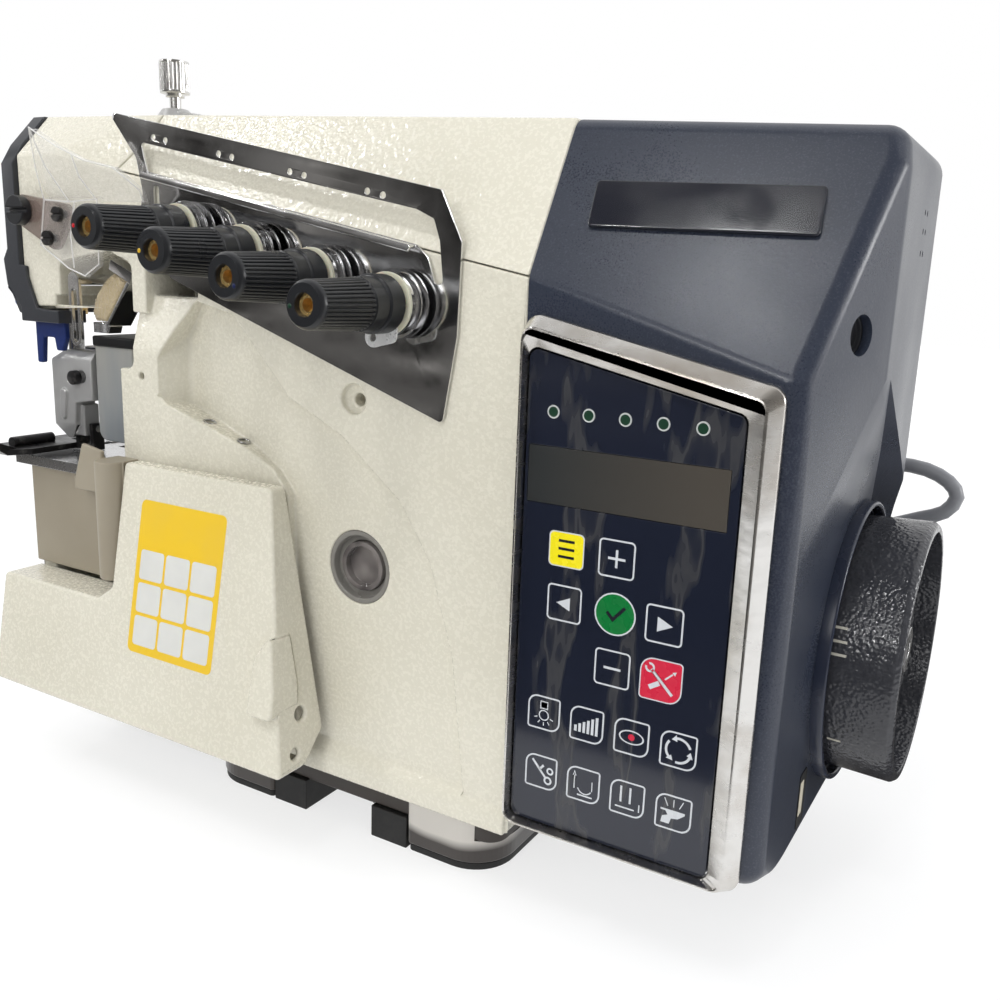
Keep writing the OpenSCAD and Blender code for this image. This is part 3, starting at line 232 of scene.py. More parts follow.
# ----------------------------------------
# Cream castings: the body, its screwed-on top cover, rear plate and the hinged
# looper cover. Cast iron and die-cast shells under a thick enamel that dries
# with a fine pebbled skin and carries small glints of lacquer.

class Wire:
    """One value in a material's nodes; arithmetic on it adds Math nodes."""

    def __init__(self, tree, socket):
        self.tree = tree
        self.socket = socket

    def math(self, operation, first, second):
        node = self.tree.nodes.new("ShaderNodeMath")
        node.operation = operation
        for plug, value in zip(node.inputs, (first, second)):
            if isinstance(value, Wire):
                self.tree.links.new(value.socket, plug)
            else:
                plug.default_value = value
        return Wire(self.tree, node.outputs[0])

    def __add__(self, other):
        return self.math("ADD", self, other)

    def __sub__(self, other):
        return self.math("SUBTRACT", self, other)

    def __rsub__(self, other):
        return self.math("SUBTRACT", other, self)

    def __mul__(self, other):
        return self.math("MULTIPLY", self, other)

    def __gt__(self, other):
        return self.math("GREATER_THAN", self, other)

    def __lt__(self, other):
        return self.math("LESS_THAN", self, other)

    __radd__ = __add__
    __rmul__ = __mul__


class Finish:
    """A material round one Principled shader, named for the finish it gives."""

    def __init__(self, name, color, roughness, **constants):
        self.material = bpy.data.materials.new(name)
        self.material.use_nodes = True
        self.tree = self.material.node_tree
        self.shader = self.tree.nodes["Principled BSDF"]
        self.set(Base_Color=(*color, 1), Roughness=roughness, **constants)

    def set(self, **values):
        for name, value in values.items():
            self.feed(self.shader.inputs[name.replace("_", " ")], value)

    def feed(self, plug, value):
        if isinstance(value, Wire):
            self.tree.links.new(value.socket, plug)
        else:
            plug.default_value = value

    def node(self, kind, settings=None, values=None, output=0):
        """Adds a node of a type with its settings, then the values or links of its sockets."""
        node = self.tree.nodes.new("ShaderNode" + kind)
        for name, value in (settings or {}).items():
            if name == "stops":
                set_stops(node.color_ramp, value)
            else:
                setattr(node, name, value)
        for name, value in (values or {}).items():
            self.feed(node.inputs[name], value)
        return Wire(self.tree, node.outputs[output])

    def place(self):
        return self.node("TexCoord", output="Object")

    def along(self, axis):
        """How far a point lies along X, Y or Z, in metres."""
        return self.node("SeparateXYZ", None, {"Vector": self.place()}, axis)

    def stretched(self, *scale):
        """Coordinates for a pattern that has its own scale along each axis."""
        return self.node("Mapping", None, {"Vector": self.place(), "Scale": scale})

    def noise(self, scale, detail=2.0, rough=0.5, place=None):
        return self.node("TexNoise", None, {"Vector": place or self.place(), "Scale": scale,
                                            "Detail": detail, "Roughness": rough})

    def ramp(self, value, *stops):
        return self.node("ValToRGB", {"stops": stops}, {"Fac": value})

    def mix(self, share, first, second):
        first, second = [(*tone, 1) if isinstance(tone, tuple) else tone for tone in (first, second)]
        return self.node("Mix", {"data_type": "RGBA"},
                         {mix_share: share, mix_first: first, mix_second: second}, mix_out)

    def drift(self, share, first, second, *gloss):
        """Goes from one tone to another by a share, with roughness stops that follow it."""
        self.set(Base_Color=self.mix(share, first, second), Roughness=self.ramp(share, *gloss))

    def bump(self, height, depth, strength=1.0):
        """Raises the surface by up to depth millimetres where height is 1."""
        self.set(Normal=self.node("Bump", None, {"Height": height, "Distance": depth * mm,
                                                 "Strength": strength}))


# corners this close are one corner, and triangles this close to flat may be rearranged
same_point = 0.002 * mm
same_plane = math.radians(0.2)


def changed(piece, kind, **settings):
    """Puts a modifier on the active piece and applies it."""
    change = piece.modifiers.new(kind.lower(), kind)
    for name, value in settings.items():
        setattr(change, name, value)
    bpy.ops.object.modifier_apply(modifier=change.name)


def finished(piece, finish, body):
    """Gives a piece its finish and its body."""
    piece.data.materials.clear()
    piece.data.materials.append(finish.material)
    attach(piece, body)
    piece.select_set(False)
    return piece


def refined(node, finish, edge=0.0, segments=3, sharp=40, merge=0.3):
    """A copy of a solid whose edges are eased by edge millimetres. Its triangles are first merged
    where they lie within merge degrees of each other, or only rearranged where merge is 0."""
    solid = frame["nodes"][node]
    piece = bpy.data.objects.new(node + "_part", solid.data.copy())
    bpy.context.collection.objects.link(piece)
    bpy.ops.object.select_all(action="DESELECT")
    bpy.context.view_layer.objects.active = piece
    piece.select_set(True)
    bpy.ops.object.mode_set(mode="EDIT")
    bpy.ops.mesh.customdata_custom_splitnormals_clear()
    bpy.ops.mesh.select_all(action="SELECT")
    bpy.ops.mesh.remove_doubles(threshold=same_point)
    if merge:
        bpy.ops.mesh.dissolve_limited(angle_limit=math.radians(merge))
    else:
        bpy.ops.mesh.beautify_fill(angle_limit=same_plane)
    bpy.ops.object.mode_set(mode="OBJECT")
    if edge:
        changed(piece, "BEVEL", width=edge * mm, segments=segments, limit_method="ANGLE",
                angle_limit=math.radians(sharp), use_clamp_overlap=False, loop_slide=False,
                miter_outer="MITER_ARC" if merge else "MITER_SHARP")
    bpy.ops.object.shade_smooth_by_angle(angle=math.radians(sharp))
    changed(piece, "WEIGHTED_NORMAL", keep_sharp=True)
    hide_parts(node)
    return finished(piece, finish, solid["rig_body"])


cream = Finish("cream_enamel", (0.64, 0.61, 0.51), 0.30)
pebble = cream.noise(470, 1.5, 0.55)
orange_peel = cream.noise(110, 1.0)
drift = cream.noise(9, 2.0)
soil = cream.noise(38, 5.0, 0.7)
glint = cream.noise(800, 1.0)
cream.set(Base_Color=cream.mix(cream.ramp(drift + soil * 0.35, (0.45, 0.0), (0.85, 1.0)),
                               (0.635, 0.605, 0.500), (0.685, 0.656, 0.552)),
          Roughness=cream.ramp(glint, (0.42, 0.32), (0.58, 0.07)))
cream.bump(pebble + orange_peel * 0.5, 0.34, 1.0)

refined("body_casting", cream, 0.9, merge=0)
for node, edge in (("top_cover", 0.9), ("rear_plate", 0.6), ("looper_cover", 1.2)):
    refined(node, cream, edge)

# ----------------------------------------
# Yellow label field on the looper cover: a vinyl sticker with round corners and
# nine pale blank boxes, pressed on the leaning front. It carries nothing else.


def rounded(left, low, wide, tall, radius, steps=6):
    """Outline of a rectangle; radius is one number, or one for each corner from the lower left."""
    radii = radius if isinstance(radius, tuple) else (radius,) * 4
    points = []
    corners = ((left, low, 180), (left + wide, low, 270), (left + wide, low + tall, 0),
               (left, low + tall, 90))
    for (x, z, start), r in zip(corners, radii):
        inward = (1 if x == left else -1, 1 if z == low else -1)
        for step in range(steps + 1):
            angle = math.radians(start + 90 * step / steps)
            points.append((x + inward[0] * r + r * math.cos(angle),
                           z + inward[1] * r + r * math.sin(angle)))
    return points


def traced(curve, points, closed=False):
    """Adds one line through points, in metres, to a curve."""
    spline = curve.splines.new("POLY")
    spline.points.add(len(points) - 1)
    for spot, place in zip(spline.points, points):
        spot.co = (*place, 1)
    spline.use_cyclic_u = closed


def meshed(curve, finish, body, seat=Matrix()):
    """Makes a curve a mesh piece, laid on its seat."""
    piece = bpy.data.objects.new(curve.name, curve)
    bpy.context.collection.objects.link(piece)
    bpy.ops.object.select_all(action="DESELECT")
    bpy.context.view_layer.objects.active = piece
    piece.select_set(True)
    bpy.ops.object.convert(target="MESH")
    piece = bpy.context.object
    piece.matrix_world = seat
    bpy.ops.object.transform_apply(location=True, rotation=True, scale=True)
    return finished(piece, finish, body)


def printed(name, loops, finish, body, seat, thick):
    """A flat piece with its outlines in millimetres; a loop inside another is a hole."""
    curve = bpy.data.curves.new(name, "CURVE")
    curve.dimensions = "2D"
    curve.fill_mode = "BOTH"
    curve.extrude = thick / 2 * mm
    for loop in loops:
        traced(curve, [(x * mm, z * mm, 0) for x, z in loop], True)
    return meshed(curve, finish, body, seat)


def lifted(seat, x=0, y=0):
    """A seat moved off its face by millimetres."""
    return Matrix.Translation((x * mm, y * mm, 0)) @ seat


# the cover's front leans back by cover_fall for each millimetre of height
cover_fall = 20 / 109
cover_top, cover_top_y = 148, -75
label_top = 130
cover_y = cover_top_y - (cover_top - label_top) * cover_fall
label_seat = (Matrix.Translation((0, cover_y * mm, label_top * mm))
              @ Matrix.Rotation(math.pi / 2 - math.atan(cover_fall), 4, "X"))
vinyl = 0.12

label_yellow = Finish("label_yellow", (0.80, 0.52, 0.015), 0.34, Coat_Weight=0.4, Coat_Roughness=0.2)
scuff = label_yellow.noise(60, 4.0)
label_yellow.set(Base_Color=label_yellow.mix(label_yellow.ramp(scuff, (0.4, 0.0), (0.75, 0.5)),
                                             (0.80, 0.52, 0.015), (0.74, 0.50, 0.06)))
label_pale = Finish("label_pale", (0.66, 0.66, 0.62), 0.35, Coat_Weight=0.4, Coat_Roughness=0.2)
grey_drift = label_pale.noise(90, 3.0)
label_pale.set(Base_Color=label_pale.mix(grey_drift, (0.60, 0.60, 0.57), (0.70, 0.70, 0.66)))

field = rounded(-80, -62, 47, 62, 2.5)
printed("label_field", [field], label_yellow, "cover", lifted(label_seat, y=-0.02), vinyl)
box_step, row_step = 14.4, 13.4
boxes = [rounded(-77.5 + column * box_step, -32 - row * row_step, 13.2, 12, 1.4)
         for row in range(3) for column in range(3)]
printed("label_boxes", boxes, label_pale, "cover", lifted(label_seat, y=-0.07), vinyl)

# ----------------------------------------
# Oil sight in the front face: a turned grey plastic ring pressed into the bore and
# a clear window behind it, dulled by the oil on its inside.

grey_plastic = Finish("grey_plastic", (0.22, 0.21, 0.18), 0.30)
handling = grey_plastic.noise(55, 4.0)
grey_plastic.drift(handling, (0.165, 0.158, 0.142), (0.265, 0.253, 0.228),
                   (0.3, 0.30), (0.8, 0.16))
grey_plastic.bump(grey_plastic.noise(900, 2.0), 0.03, 0.5)
refined("sight_ring", grey_plastic, 0.5)

window = Finish("sight_window", (0.30, 0.27, 0.25), 0.06, Transmission_Weight=0.35, IOR=1.45,
                Coat_Weight=0.5, Coat_Roughness=0.04)
stain = window.noise(70, 2.0)
window.set(Base_Color=window.mix(window.ramp(stain, (0.4, 0.0), (0.65, 1.0)),
                                 (0.10, 0.088, 0.086), (0.34, 0.31, 0.29)))
refined("sight_lens", window, 0.3)

# ----------------------------------------
# Underneath: a pressed oil pan, four cast feet bolted under it and the black
# rubber pads and blocks that they stand on.

pan_steel = Finish("pan_steel", (0.035, 0.030, 0.028), 0.45)
grime = pan_steel.noise(40, 5.0, 0.6)
pan_steel.drift(grime, (0.02, 0.018, 0.017), (0.06, 0.048, 0.04), (0.3, 0.35), (0.7, 0.65))
pan_steel.bump(grime, 0.1, 0.4)
refined("base_pan", pan_steel, 0.8, merge=0)

foot_iron = Finish("foot_iron", (0.10, 0.085, 0.075), 0.30, Coat_Weight=0.35, Coat_Roughness=0.12)
sand = foot_iron.noise(300, 4.0)
level = foot_iron.along("Z")
wave = foot_iron.noise(28, 1.0)
# the feet are darker towards the bottom: near-black up to about a centimetre above the floor and pale
# grey above, with a wavy line between
dark_below = foot_iron.ramp(level * 55 + wave * 0.9 - 0.95, (0.0, 0.0), (0.25, 1.0))
foot_iron.set(Base_Color=foot_iron.mix(dark_below, (0.035, 0.027, 0.023), (0.66, 0.63, 0.58)))
foot_iron.bump(sand, 0.08, 0.5)
refined("foot_castings", foot_iron, 1.0)

rubber = Finish("black_rubber", (0.014, 0.014, 0.014), 0.62)
dust = rubber.noise(120, 5.0, 0.6)
rubber.set(Base_Color=rubber.mix(rubber.ramp(dust, (0.5, 0.0), (0.8, 1.0)),
                                 (0.007, 0.007, 0.007), (0.022, 0.021, 0.020)))
rubber.bump(dust, 0.05, 0.5)
refined("rubber_feet", rubber, 0.5)

# ----------------------------------------
# End housing: a moulded shell in dark slate enamel with a fine speckle, with its
# back cover, a collar round the wheel's opening, a plug and a service port in the
# side, and a bare glossy badge plate.

slate = Finish("slate_enamel", (0.026, 0.032, 0.050), 0.30)
speck = slate.noise(1700, 2.0, 0.6)
skin = slate.noise(700, 3.0, 0.6)
cloud = slate.noise(14, 4.0)
slate.set(Base_Color=slate.mix(slate.ramp(speck + skin * 0.3, (0.66, 0.0), (0.90, 1.0)),
                               (0.024, 0.030, 0.048), (0.050, 0.058, 0.078)),
          Roughness=slate.ramp(cloud + speck * 0.5, (0.50, 0.24), (1.0, 0.40)))
slate.bump(skin + speck * 0.5, 0.06, 0.6)
refined("end_housing", slate, 0, sharp=32, merge=0)
refined("housing_back", slate, 0.6)


def placed(name):
    """Names the primitive just added and applies its place, so that its object sits at the origin."""
    piece = bpy.context.object
    piece.name = name
    bpy.ops.object.transform_apply(location=True, rotation=True, scale=True)
    return piece


# smooth collar that stands up round the wheel's opening
side_x = 176
wheel_y, wheel_z = 31, 94.5
smooth_slate = Finish("smooth_slate", (0.024, 0.030, 0.052), 0.24)
wiped = smooth_slate.noise(40, 4.0)
smooth_slate.set(Roughness=smooth_slate.ramp(wiped, (0.35, 0.18), (0.75, 0.34)))
bpy.ops.mesh.primitive_cylinder_add(vertices=96, radius=52.6 * mm, depth=5.5 * mm,
                                    end_fill_type="NOTHING", rotation=(0, math.pi / 2, 0),
                                    location=(177.6 * mm, wheel_y * mm, wheel_z * mm))
collar = placed("hollow_collar")
changed(collar, "SOLIDIFY", thickness=2.2 * mm, offset=-1)
changed(collar, "BEVEL", width=0.8 * mm, segments=3)
bpy.ops.object.shade_smooth_by_angle(angle=math.radians(35))
finished(collar, smooth_slate, "machine")

dark_plastic = Finish("dark_plastic", (0.030, 0.032, 0.037), 0.45)
grain = dark_plastic.noise(700, 2.0)
rub = dark_plastic.noise(35, 4.0)
dark_plastic.drift(rub, (0.022, 0.024, 0.029), (0.042, 0.044, 0.05), (0.3, 0.5), (0.75, 0.34))
dark_plastic.bump(grain, 0.05, 0.5)
refined("side_plug", dark_plastic, 0.3)

# service port low on the right side: a flat dark patch, painted shade standing in for its opening,
# with a pale contact block
port_seat = Matrix(((0, 0, 1, side_x * mm), (1, 0, 0, 0), (0, 1, 0, 0), (0, 0, 0, 1)))
port_block = Finish("port_block", (0.62, 0.57, 0.45), 0.45)
port_block.set(Roughness=port_block.ramp(port_block.noise(300), (0.3, 0.36), (0.7, 0.55)))
opening_shade, contact = rounded(-24, 41, 9, 20.5, 1.2), rounded(-23.4, 46, 4.2, 12.5, 0.6)
printed("service_port", [opening_shade], rubber, "machine", lifted(port_seat, x=0.1), 0.4)
printed("port_contact", [contact], port_block, "machine", lifted(port_seat, x=0.25), 0.4)

badge_gloss = Finish("badge_gloss", (0.012, 0.013, 0.020), 0.12, Coat_Weight=1.0,
                     Coat_Roughness=0.03)
haze = badge_gloss.noise(45, 3.0)
badge_gloss.set(Roughness=badge_gloss.ramp(haze, (0.35, 0.08), (0.8, 0.26)))
badge_gloss.bump(badge_gloss.noise(35, 1.0), 0.10, 0.25)
refined("badge_plate", badge_gloss, 0.7, 4)

# ----------------------------------------
# Control panel: a brushed, plated frame round a printed film keypad, with a display
# window and rows of flat keys. The plating is dulled and stained by handling.

worn_plating = Finish("worn_plating", (0.66, 0.65, 0.63), 0.2, Metallic=1.0)
brush = worn_plating.noise(1.0, 5.0, 0.65, worn_plating.stretched(60, 60, 260))
stain_patch = worn_plating.noise(26, 4.0, 0.6)
stained = worn_plating.ramp(stain_patch, (0.42, 0.0), (0.68, 1.0))
worn_plating.set(Base_Color=worn_plating.mix(stained, (0.72, 0.71, 0.69), (0.48, 0.44, 0.39)),
                 Roughness=worn_plating.ramp(brush * 0.6 + stain_patch * 0.6,
                                             (0.40, 0.12), (0.80, 0.40)))
worn_plating.bump(brush, 0.05, 0.4)
refined("control_frame", worn_plating, 0.5)

film = Finish("keypad_film", (0.010, 0.013, 0.025), 0.16, Coat_Weight=0.3, Coat_Roughness=0.08)
crease = film.noise(1.0, 3.0, 0.55, film.stretched(70, 70, 16))
mark = film.ramp(crease, (0.53, 0.0), (0.58, 1.0), (0.62, 0.25), (0.70, 0.0))
film.drift(mark, (0.010, 0.013, 0.025), (0.040, 0.041, 0.046), (0.0, 0.14), (1.0, 0.34))
film.bump(crease, 0.25, 0.3)
refined("keypad", film, 0.3)

glass = Finish("display_glass", (0.050, 0.046, 0.040), 0.12, Coat_Weight=0.7, Coat_Roughness=0.05)
# the glass is painted lighter and warmer towards its right end: a painted reflection
glass.set(Base_Color=glass.mix(glass.ramp(glass.along("X") * 15 - 1.35, (0.1, 0.0), (0.9, 1.0)),
                               (0.030, 0.032, 0.032), (0.066, 0.058, 0.048)))
glass.bump(glass.noise(420, 2.0), 0.02, 0.3)
refined("display_window", glass, 0.15, 1)


def ink(name, color, rough=0.28, coat=0.4, least=0.20, most=0.36):
    """A flat printed colour whose gloss drifts a little."""
    finish = Finish(name, color, rough, Coat_Weight=coat)
    finish.set(Roughness=finish.ramp(finish.noise(200), (0.3, least), (0.7, most)))
    return finish


print_white = ink("print_white", (0.58, 0.60, 0.62), 0.30, 0.3, 0.22, 0.40)
print_yellow = ink("print_yellow", (0.86, 0.74, 0.0))
print_red = ink("print_red", (0.60, 0.012, 0.045))
print_green = ink("print_green", (0.0, 0.17, 0.032))
print_dark = ink("print_dark", (0.012, 0.014, 0.022))

panel_y = -70
ink_layer = 0.03
key_size, leaf_size, key_line = 12.2, 12.0, 0.55


def print_key(name, loops, finish, layer=0, thick=ink_layer):
    """A print on the panel; layer is how many layers of ink lie under it."""
    seat = Matrix.Rotation(math.pi / 2, 4, "X")
    return printed(name, loops, finish, "machine",
                   lifted(seat, y=panel_y - ink_layer * layer - thick / 2), thick)


def disc(x, z, radius, steps=28):
    """Outline of a circle."""
    return [(x + radius * math.cos(2 * math.pi * k / steps),
             z + radius * math.sin(2 * math.pi * k / steps)) for k in range(steps)]


def framed(left, low, radius, size=key_size):
    """Outline of a key: a loop and the loop inside it."""
    radii = radius if isinstance(radius, tuple) else (radius,) * 4
    inner = size - 2 * key_line
    return [rounded(left, low, size, size, radii),
            rounded(left + key_line, low + key_line, inner, inner,
                    tuple(max(r - key_line, 0.2) for r in radii))]


def bar(x0, z0, x1, z1, width):
    """A straight stroke from one point to another."""
    along = Vector((x1 - x0, z1 - z0)).normalized() * (width / 2)
    side = Vector((-along.y, along.x))
    return [(x0 + side.x, z0 + side.y), (x0 - side.x, z0 - side.y),
            (x1 - side.x, z1 - side.y), (x1 + side.x, z1 + side.y)]


def arc(x, z, radius, start, end, width, steps=14):
    """A curved stroke, from one angle to another in degrees."""
    loop = []
    for r, order in ((radius + width / 2, range(steps + 1)),
                     (radius - width / 2, range(steps, -1, -1))):
        for k in order:
            angle = math.radians(start + (end - start) * k / steps)
            loop.append((x + r * math.cos(angle), z + r * math.sin(angle)))
    return loop


def moved(loops, x, z):
    """Loops drawn round a point, moved to another."""
    return [[(u + x, w + z) for u, w in loop] for loop in loops]


def polar(radius, angle):
    """The point at a radius and an angle in degrees."""
    return (radius * math.cos(math.radians(angle)), radius * math.sin(math.radians(angle)))


# square keys with a plus, a minus and two arrows, and the ring of the round key
plus = [(6.5, 3.2), (6.5, 5.7), (9.0, 5.7), (9.0, 6.5), (6.5, 6.5), (6.5, 9.0),
        (5.7, 9.0), (5.7, 6.5), (3.2, 6.5), (3.2, 5.7), (5.7, 5.7), (5.7, 3.2)]
round_x, round_z = 124.1, 121.5
white = framed(117.4, 133.2, 1.5) + moved([plus], 117.4, 133.2)
white += framed(118.2, 97.4, 1.5) + [bar(121.4, 103.5, 127.2, 103.5, 0.8)]
white += framed(100.3, 115.3, 1.5) + [[(103.6, 121.4), (108.4, 123.6), (108.4, 119.2)]]
white += framed(134.3, 115.3, 1.5) + [[(143.2, 121.4), (138.2, 123.8), (138.2, 119.0)]]
white += [disc(round_x, round_z, 7.0), disc(round_x, round_z, 6.5)]

# eight leaf-shaped keys, each sign drawn round the middle of its key
light = [disc(0, -0.8, 1.9), disc(0, -0.8, 1.5),
         bar(-1.3, 1.3, -1.3, 3.9, 0.35), bar(1.3, 1.3, 1.3, 3.9, 0.35),
         bar(-1.45, 4.0, 1.45, 4.0, 0.35), bar(-1.1, 1.6, 1.1, 1.6, 0.35)]
for angle in (-160, -125, -90, -55, -20):
    light += moved([bar(*polar(2.5, angle), *polar(3.7, angle), 0.35)], 0, -0.8)
speed = [[(x, -3.0), (x + 0.95, -3.0), (x + 0.95, rise - 0.8), (x, rise - 1.0)]
         for x, rise in ((-4.4 + 1.5 * k, 0.85 * k) for k in range(6))]
lid = [(4.3 * math.cos(math.pi * k / 12), 2.4 * math.sin(math.pi * k / 12)) for k in range(24)]
eye = [lid, [(x * 0.88, z * 0.82) for x, z in lid]]
mode = []
for start in (20, 140, 260):
    end = start + 80
    mode += [arc(0, 0, 4.0, start, end, 0.8),
             [polar(4.0, start + 106), polar(2.9, end), polar(5.1, end)]]
trim = [bar(-3.4, 4.0, 1.6, -1.6, 0.8), bar(-0.6, 0.9, 0.9, 2.6, 0.8),
        disc(2.6, -2.6, 1.5), disc(2.6, -2.6, 0.85), disc(3.3, 1.0, 1.3), disc(3.3, 1.0, 0.7)]
foot = [bar(-3.2, -2.0, -3.2, 3.6, 0.4), arc(0.6, -0.6, 2.6, 200, 330, 0.4),
        bar(-2.0, -3.9, 3.4, -3.9, 0.5), [(-3.9, 2.6), (-2.5, 2.6), (-3.2, 4.4)],
        bar(3.2, -1.6, 3.2, 1.8, 0.35)]
needle = [bar(-2.2, -1.6, -2.2, 4.0, 0.7), bar(1.0, -1.6, 1.0, 4.0, 0.7),
          bar(-4.0, -3.4, 2.6, -3.4, 0.5), bar(4.2, -3.6, 4.2, -1.0, 0.4)]
air = [[(-4.2, 0.9), (3.8, 0.9), (3.8, 0.2), (1.6, -1.6), (-0.6, -2.0), (-1.2, -4.0),
        (-4.0, -4.0), (-3.6, -1.8), (-1.8, -1.0), (-2.6, 0.3), (-4.2, 0.3)]]
air += [bar(shift * 1.3, 4.6, shift * 0.8, 2.0, 0.3) for shift in (-2.4, 0, 2.4)]
columns = [95.1 + 15.65 * k for k in range(4)]
upper_row, lower_row = 76.2, 54.9
for left in columns:
    for low in (upper_row, lower_row):
        white += framed(left, low, (1.0, 3.6, 1.0, 3.6), leaf_size)
for low, signs in ((upper_row, (light, speed, eye, mode)), (lower_row, (trim, foot, needle, air))):
    for left, sign in zip(columns, signs):
        white += moved(sign, left + leaf_size / 2, low + leaf_size / 2)
print_key("key_print", white, print_white)

# coloured keys, each a flat field with a lighter rim, and their signs
three_bars = [bar(103.4, 142.0 - 2.6 * k, 109.0, 142.0 - 2.6 * k, 0.9) for k in range(3)]
check = [(120.9, 121.6), (121.7, 122.3), (123.4, 120.5), (127.0, 124.5), (127.8, 123.8),
         (123.4, 118.8)]
tools = [bar(137.4, 106.6, 144.6, 99.4, 1.0), arc(136.9, 107.1, 1.3, 165, 465, 0.7),
         bar(140.2, 102.6, 137.0, 100.6, 1.6), bar(142.0, 104.2, 144.4, 106.4, 0.5),
         [(144.2, 107.0), (145.2, 106.0), (145.6, 107.4)]]
for name, loops, finish, layer in (
        ("key_yellow_rim", [rounded(100.0, 133.4, 12.4, 11.6, 1.6)], print_white, 0),
        ("key_yellow", [rounded(100.4, 133.8, 11.6, 10.8, 1.4)], print_yellow, 1),
        ("key_yellow_sign", three_bars, print_dark, 2),
        ("key_green", [disc(round_x, round_z, 6.5)], print_green, 0),
        ("key_green_sign", [check], print_dark, 1),
        ("key_red_rim", [rounded(133.7, 96.5, 13.9, 13.9, (1.2, 4.4, 1.2, 4.4))], print_white, 0),
        ("key_red", [rounded(134.1, 96.9, 13.1, 13.1, (1.0, 4.1, 1.0, 4.1))], print_red, 1),
        ("key_red_sign", tools, print_white, 2),
        ("eye_spot", moved([disc(leaf_size / 2, leaf_size / 2, 1.1)], columns[2], upper_row),
         print_red, 0)):
    print_key(name, loops, finish, layer)


def wire_ring(name, radius, wire, turn):
    """Pattern for a smooth ring of round wire, modelled round the origin."""
    bpy.ops.mesh.primitive_torus_add(major_radius=radius * mm, minor_radius=wire * mm,
                                     major_segments=40, minor_segments=10, rotation=turn)
    ring = placed(name)
    bpy.ops.object.shade_smooth()
    return ring


def copied(pattern, name, place):
    """A copy of a pattern with its own mesh, moved from the origin to its place in metres."""
    piece = bpy.data.objects.new(name, pattern.data.copy())
    bpy.context.collection.objects.link(piece)
    piece.data.transform(Matrix.Translation(place))
    return piece


# five status lamps: a raised pale ring round a dark green lens
ring_plastic = Finish("lamp_ring", (0.50, 0.52, 0.50), 0.3)
ring_plastic.set(Roughness=ring_plastic.ramp(ring_plastic.noise(300), (0.3, 0.22), (0.7, 0.4)))
lens_green = Finish("lamp_lens", (0.010, 0.040, 0.022), 0.10, Coat_Weight=0.6, Coat_Roughness=0.05)
lens_green.set(Roughness=lens_green.ramp(lens_green.noise(300), (0.3, 0.06), (0.7, 0.2)))
lamp_x, lamp_step, lamp_z = 99.3, 12.07, 182.5
ring = wire_ring("ring_pattern", 1.85, 0.28, (math.pi / 2, 0, 0))
for k in range(5):
    x = lamp_x + lamp_step * k
    place = Vector((x, panel_y, lamp_z)) * mm
    finished(copied(ring, f"lamp_ring_{k + 1}", place), ring_plastic, "machine")
    print_key(f"lamp_lens_{k + 1}", [disc(x, lamp_z, 1.8)], lens_green, thick=0.15)
bpy.data.meshes.remove(ring.data)

# ----------------------------------------
# Handwheel: an aluminium cup in black wrinkle enamel, with pale index marks
# painted on its rim, the steel bolt that holds it, and the shaft and motor behind it.

wrinkle = Finish("wrinkle_enamel", (0.026, 0.027, 0.032), 0.24)
fold = wrinkle.node("TexVoronoi", {"feature": "SMOOTH_F1"},
                    {"Vector": wrinkle.place(), "Scale": 820, "Smoothness": 0.8})
swell = wrinkle.noise(420, 2.0)
wrinkle.drift(swell, (0.026, 0.027, 0.032), (0.050, 0.051, 0.058), (0.4, 0.12), (0.7, 0.26))
wrinkle.bump(fold + swell * 0.8, 0.26, 0.9)
refined("handwheel", wrinkle, 0.5, sharp=32, merge=0)

steel = Finish("ground_steel", (0.56, 0.56, 0.57), 0.24, Metallic=1.0)
scratch = steel.noise(140, 6.0, 0.7)
oiled = steel.noise(25, 3.0)
steel.set(Roughness=steel.ramp(scratch * 0.5 + oiled * 0.6, (0.35, 0.14), (0.8, 0.42)),
          Base_Color=steel.mix(oiled, (0.46, 0.455, 0.45), (0.64, 0.64, 0.65)))
steel.bump(scratch, 0.03, 0.4)
for node, edge in (("wheel_bolt", 0.3), ("main_shaft", 0.3), ("shaft_bearings", 0.2)):
    refined(node, steel, edge)

iron = Finish("motor_iron", (0.16, 0.15, 0.14), 0.5, Metallic=0.6)
bands = iron.noise(60, 4.0)
iron.drift(bands, (0.10, 0.095, 0.09), (0.22, 0.20, 0.19), (0.3, 0.35), (0.7, 0.65))
iron.bump(iron.noise(400, 2.0), 0.04, 0.5)
refined("motor_rotor", iron, 0.3)
refined("motor_stator", iron, 0.3)

mark_paint = Finish("mark_paint", (0.52, 0.50, 0.42), 0.4)
chip = mark_paint.noise(500, 2.0)
mark_paint.set(Base_Color=mark_paint.mix(chip, (0.42, 0.40, 0.34), (0.60, 0.58, 0.50)))
wheel_axis = Vector((0, wheel_y, wheel_z)) * mm
wall_r, wall_flare, paint = 47.0, 1 / 24, 0.06
mark_r, mark_wide = 47.5, 0.9
# each mark: its turn round the wheel in degrees, where it starts along X and its length
for number, (turn, start, long) in enumerate(((22.4, 178.2, 5.4), (16.8, 178.2, 6.0),
                                              (11.4, 178.2, 6.4), (-29.4, 180.6, 4.6))):
    bpy.ops.mesh.primitive_plane_add(size=1, location=((start + long / 2) * mm, 0, 0))
    bpy.context.object.scale = (long * mm, mark_wide * mm, 1)
    tick = placed(f"wheel_mark_{number + 1}")
    bpy.ops.object.mode_set(mode="EDIT")
    bpy.ops.mesh.select_all(action="SELECT")
    bpy.ops.mesh.subdivide(number_cuts=3)
    bpy.ops.object.mode_set(mode="OBJECT")
    # wrapped round the wheel's wall, which widens outwards
    for vertex in tick.data.vertices:
        angle = math.radians(turn) + vertex.co.y / (mark_r * mm)
        radius = (wall_r + (vertex.co.x / mm - side_x) * wall_flare + paint) * mm
        vertex.co = (vertex.co.x, wheel_axis.y - radius * math.cos(angle),
                     wheel_axis.z + radius * math.sin(angle))
    changed(tick, "SOLIDIFY", thickness=0.05 * mm, offset=0)
    finished(tick, mark_paint, "wheel")

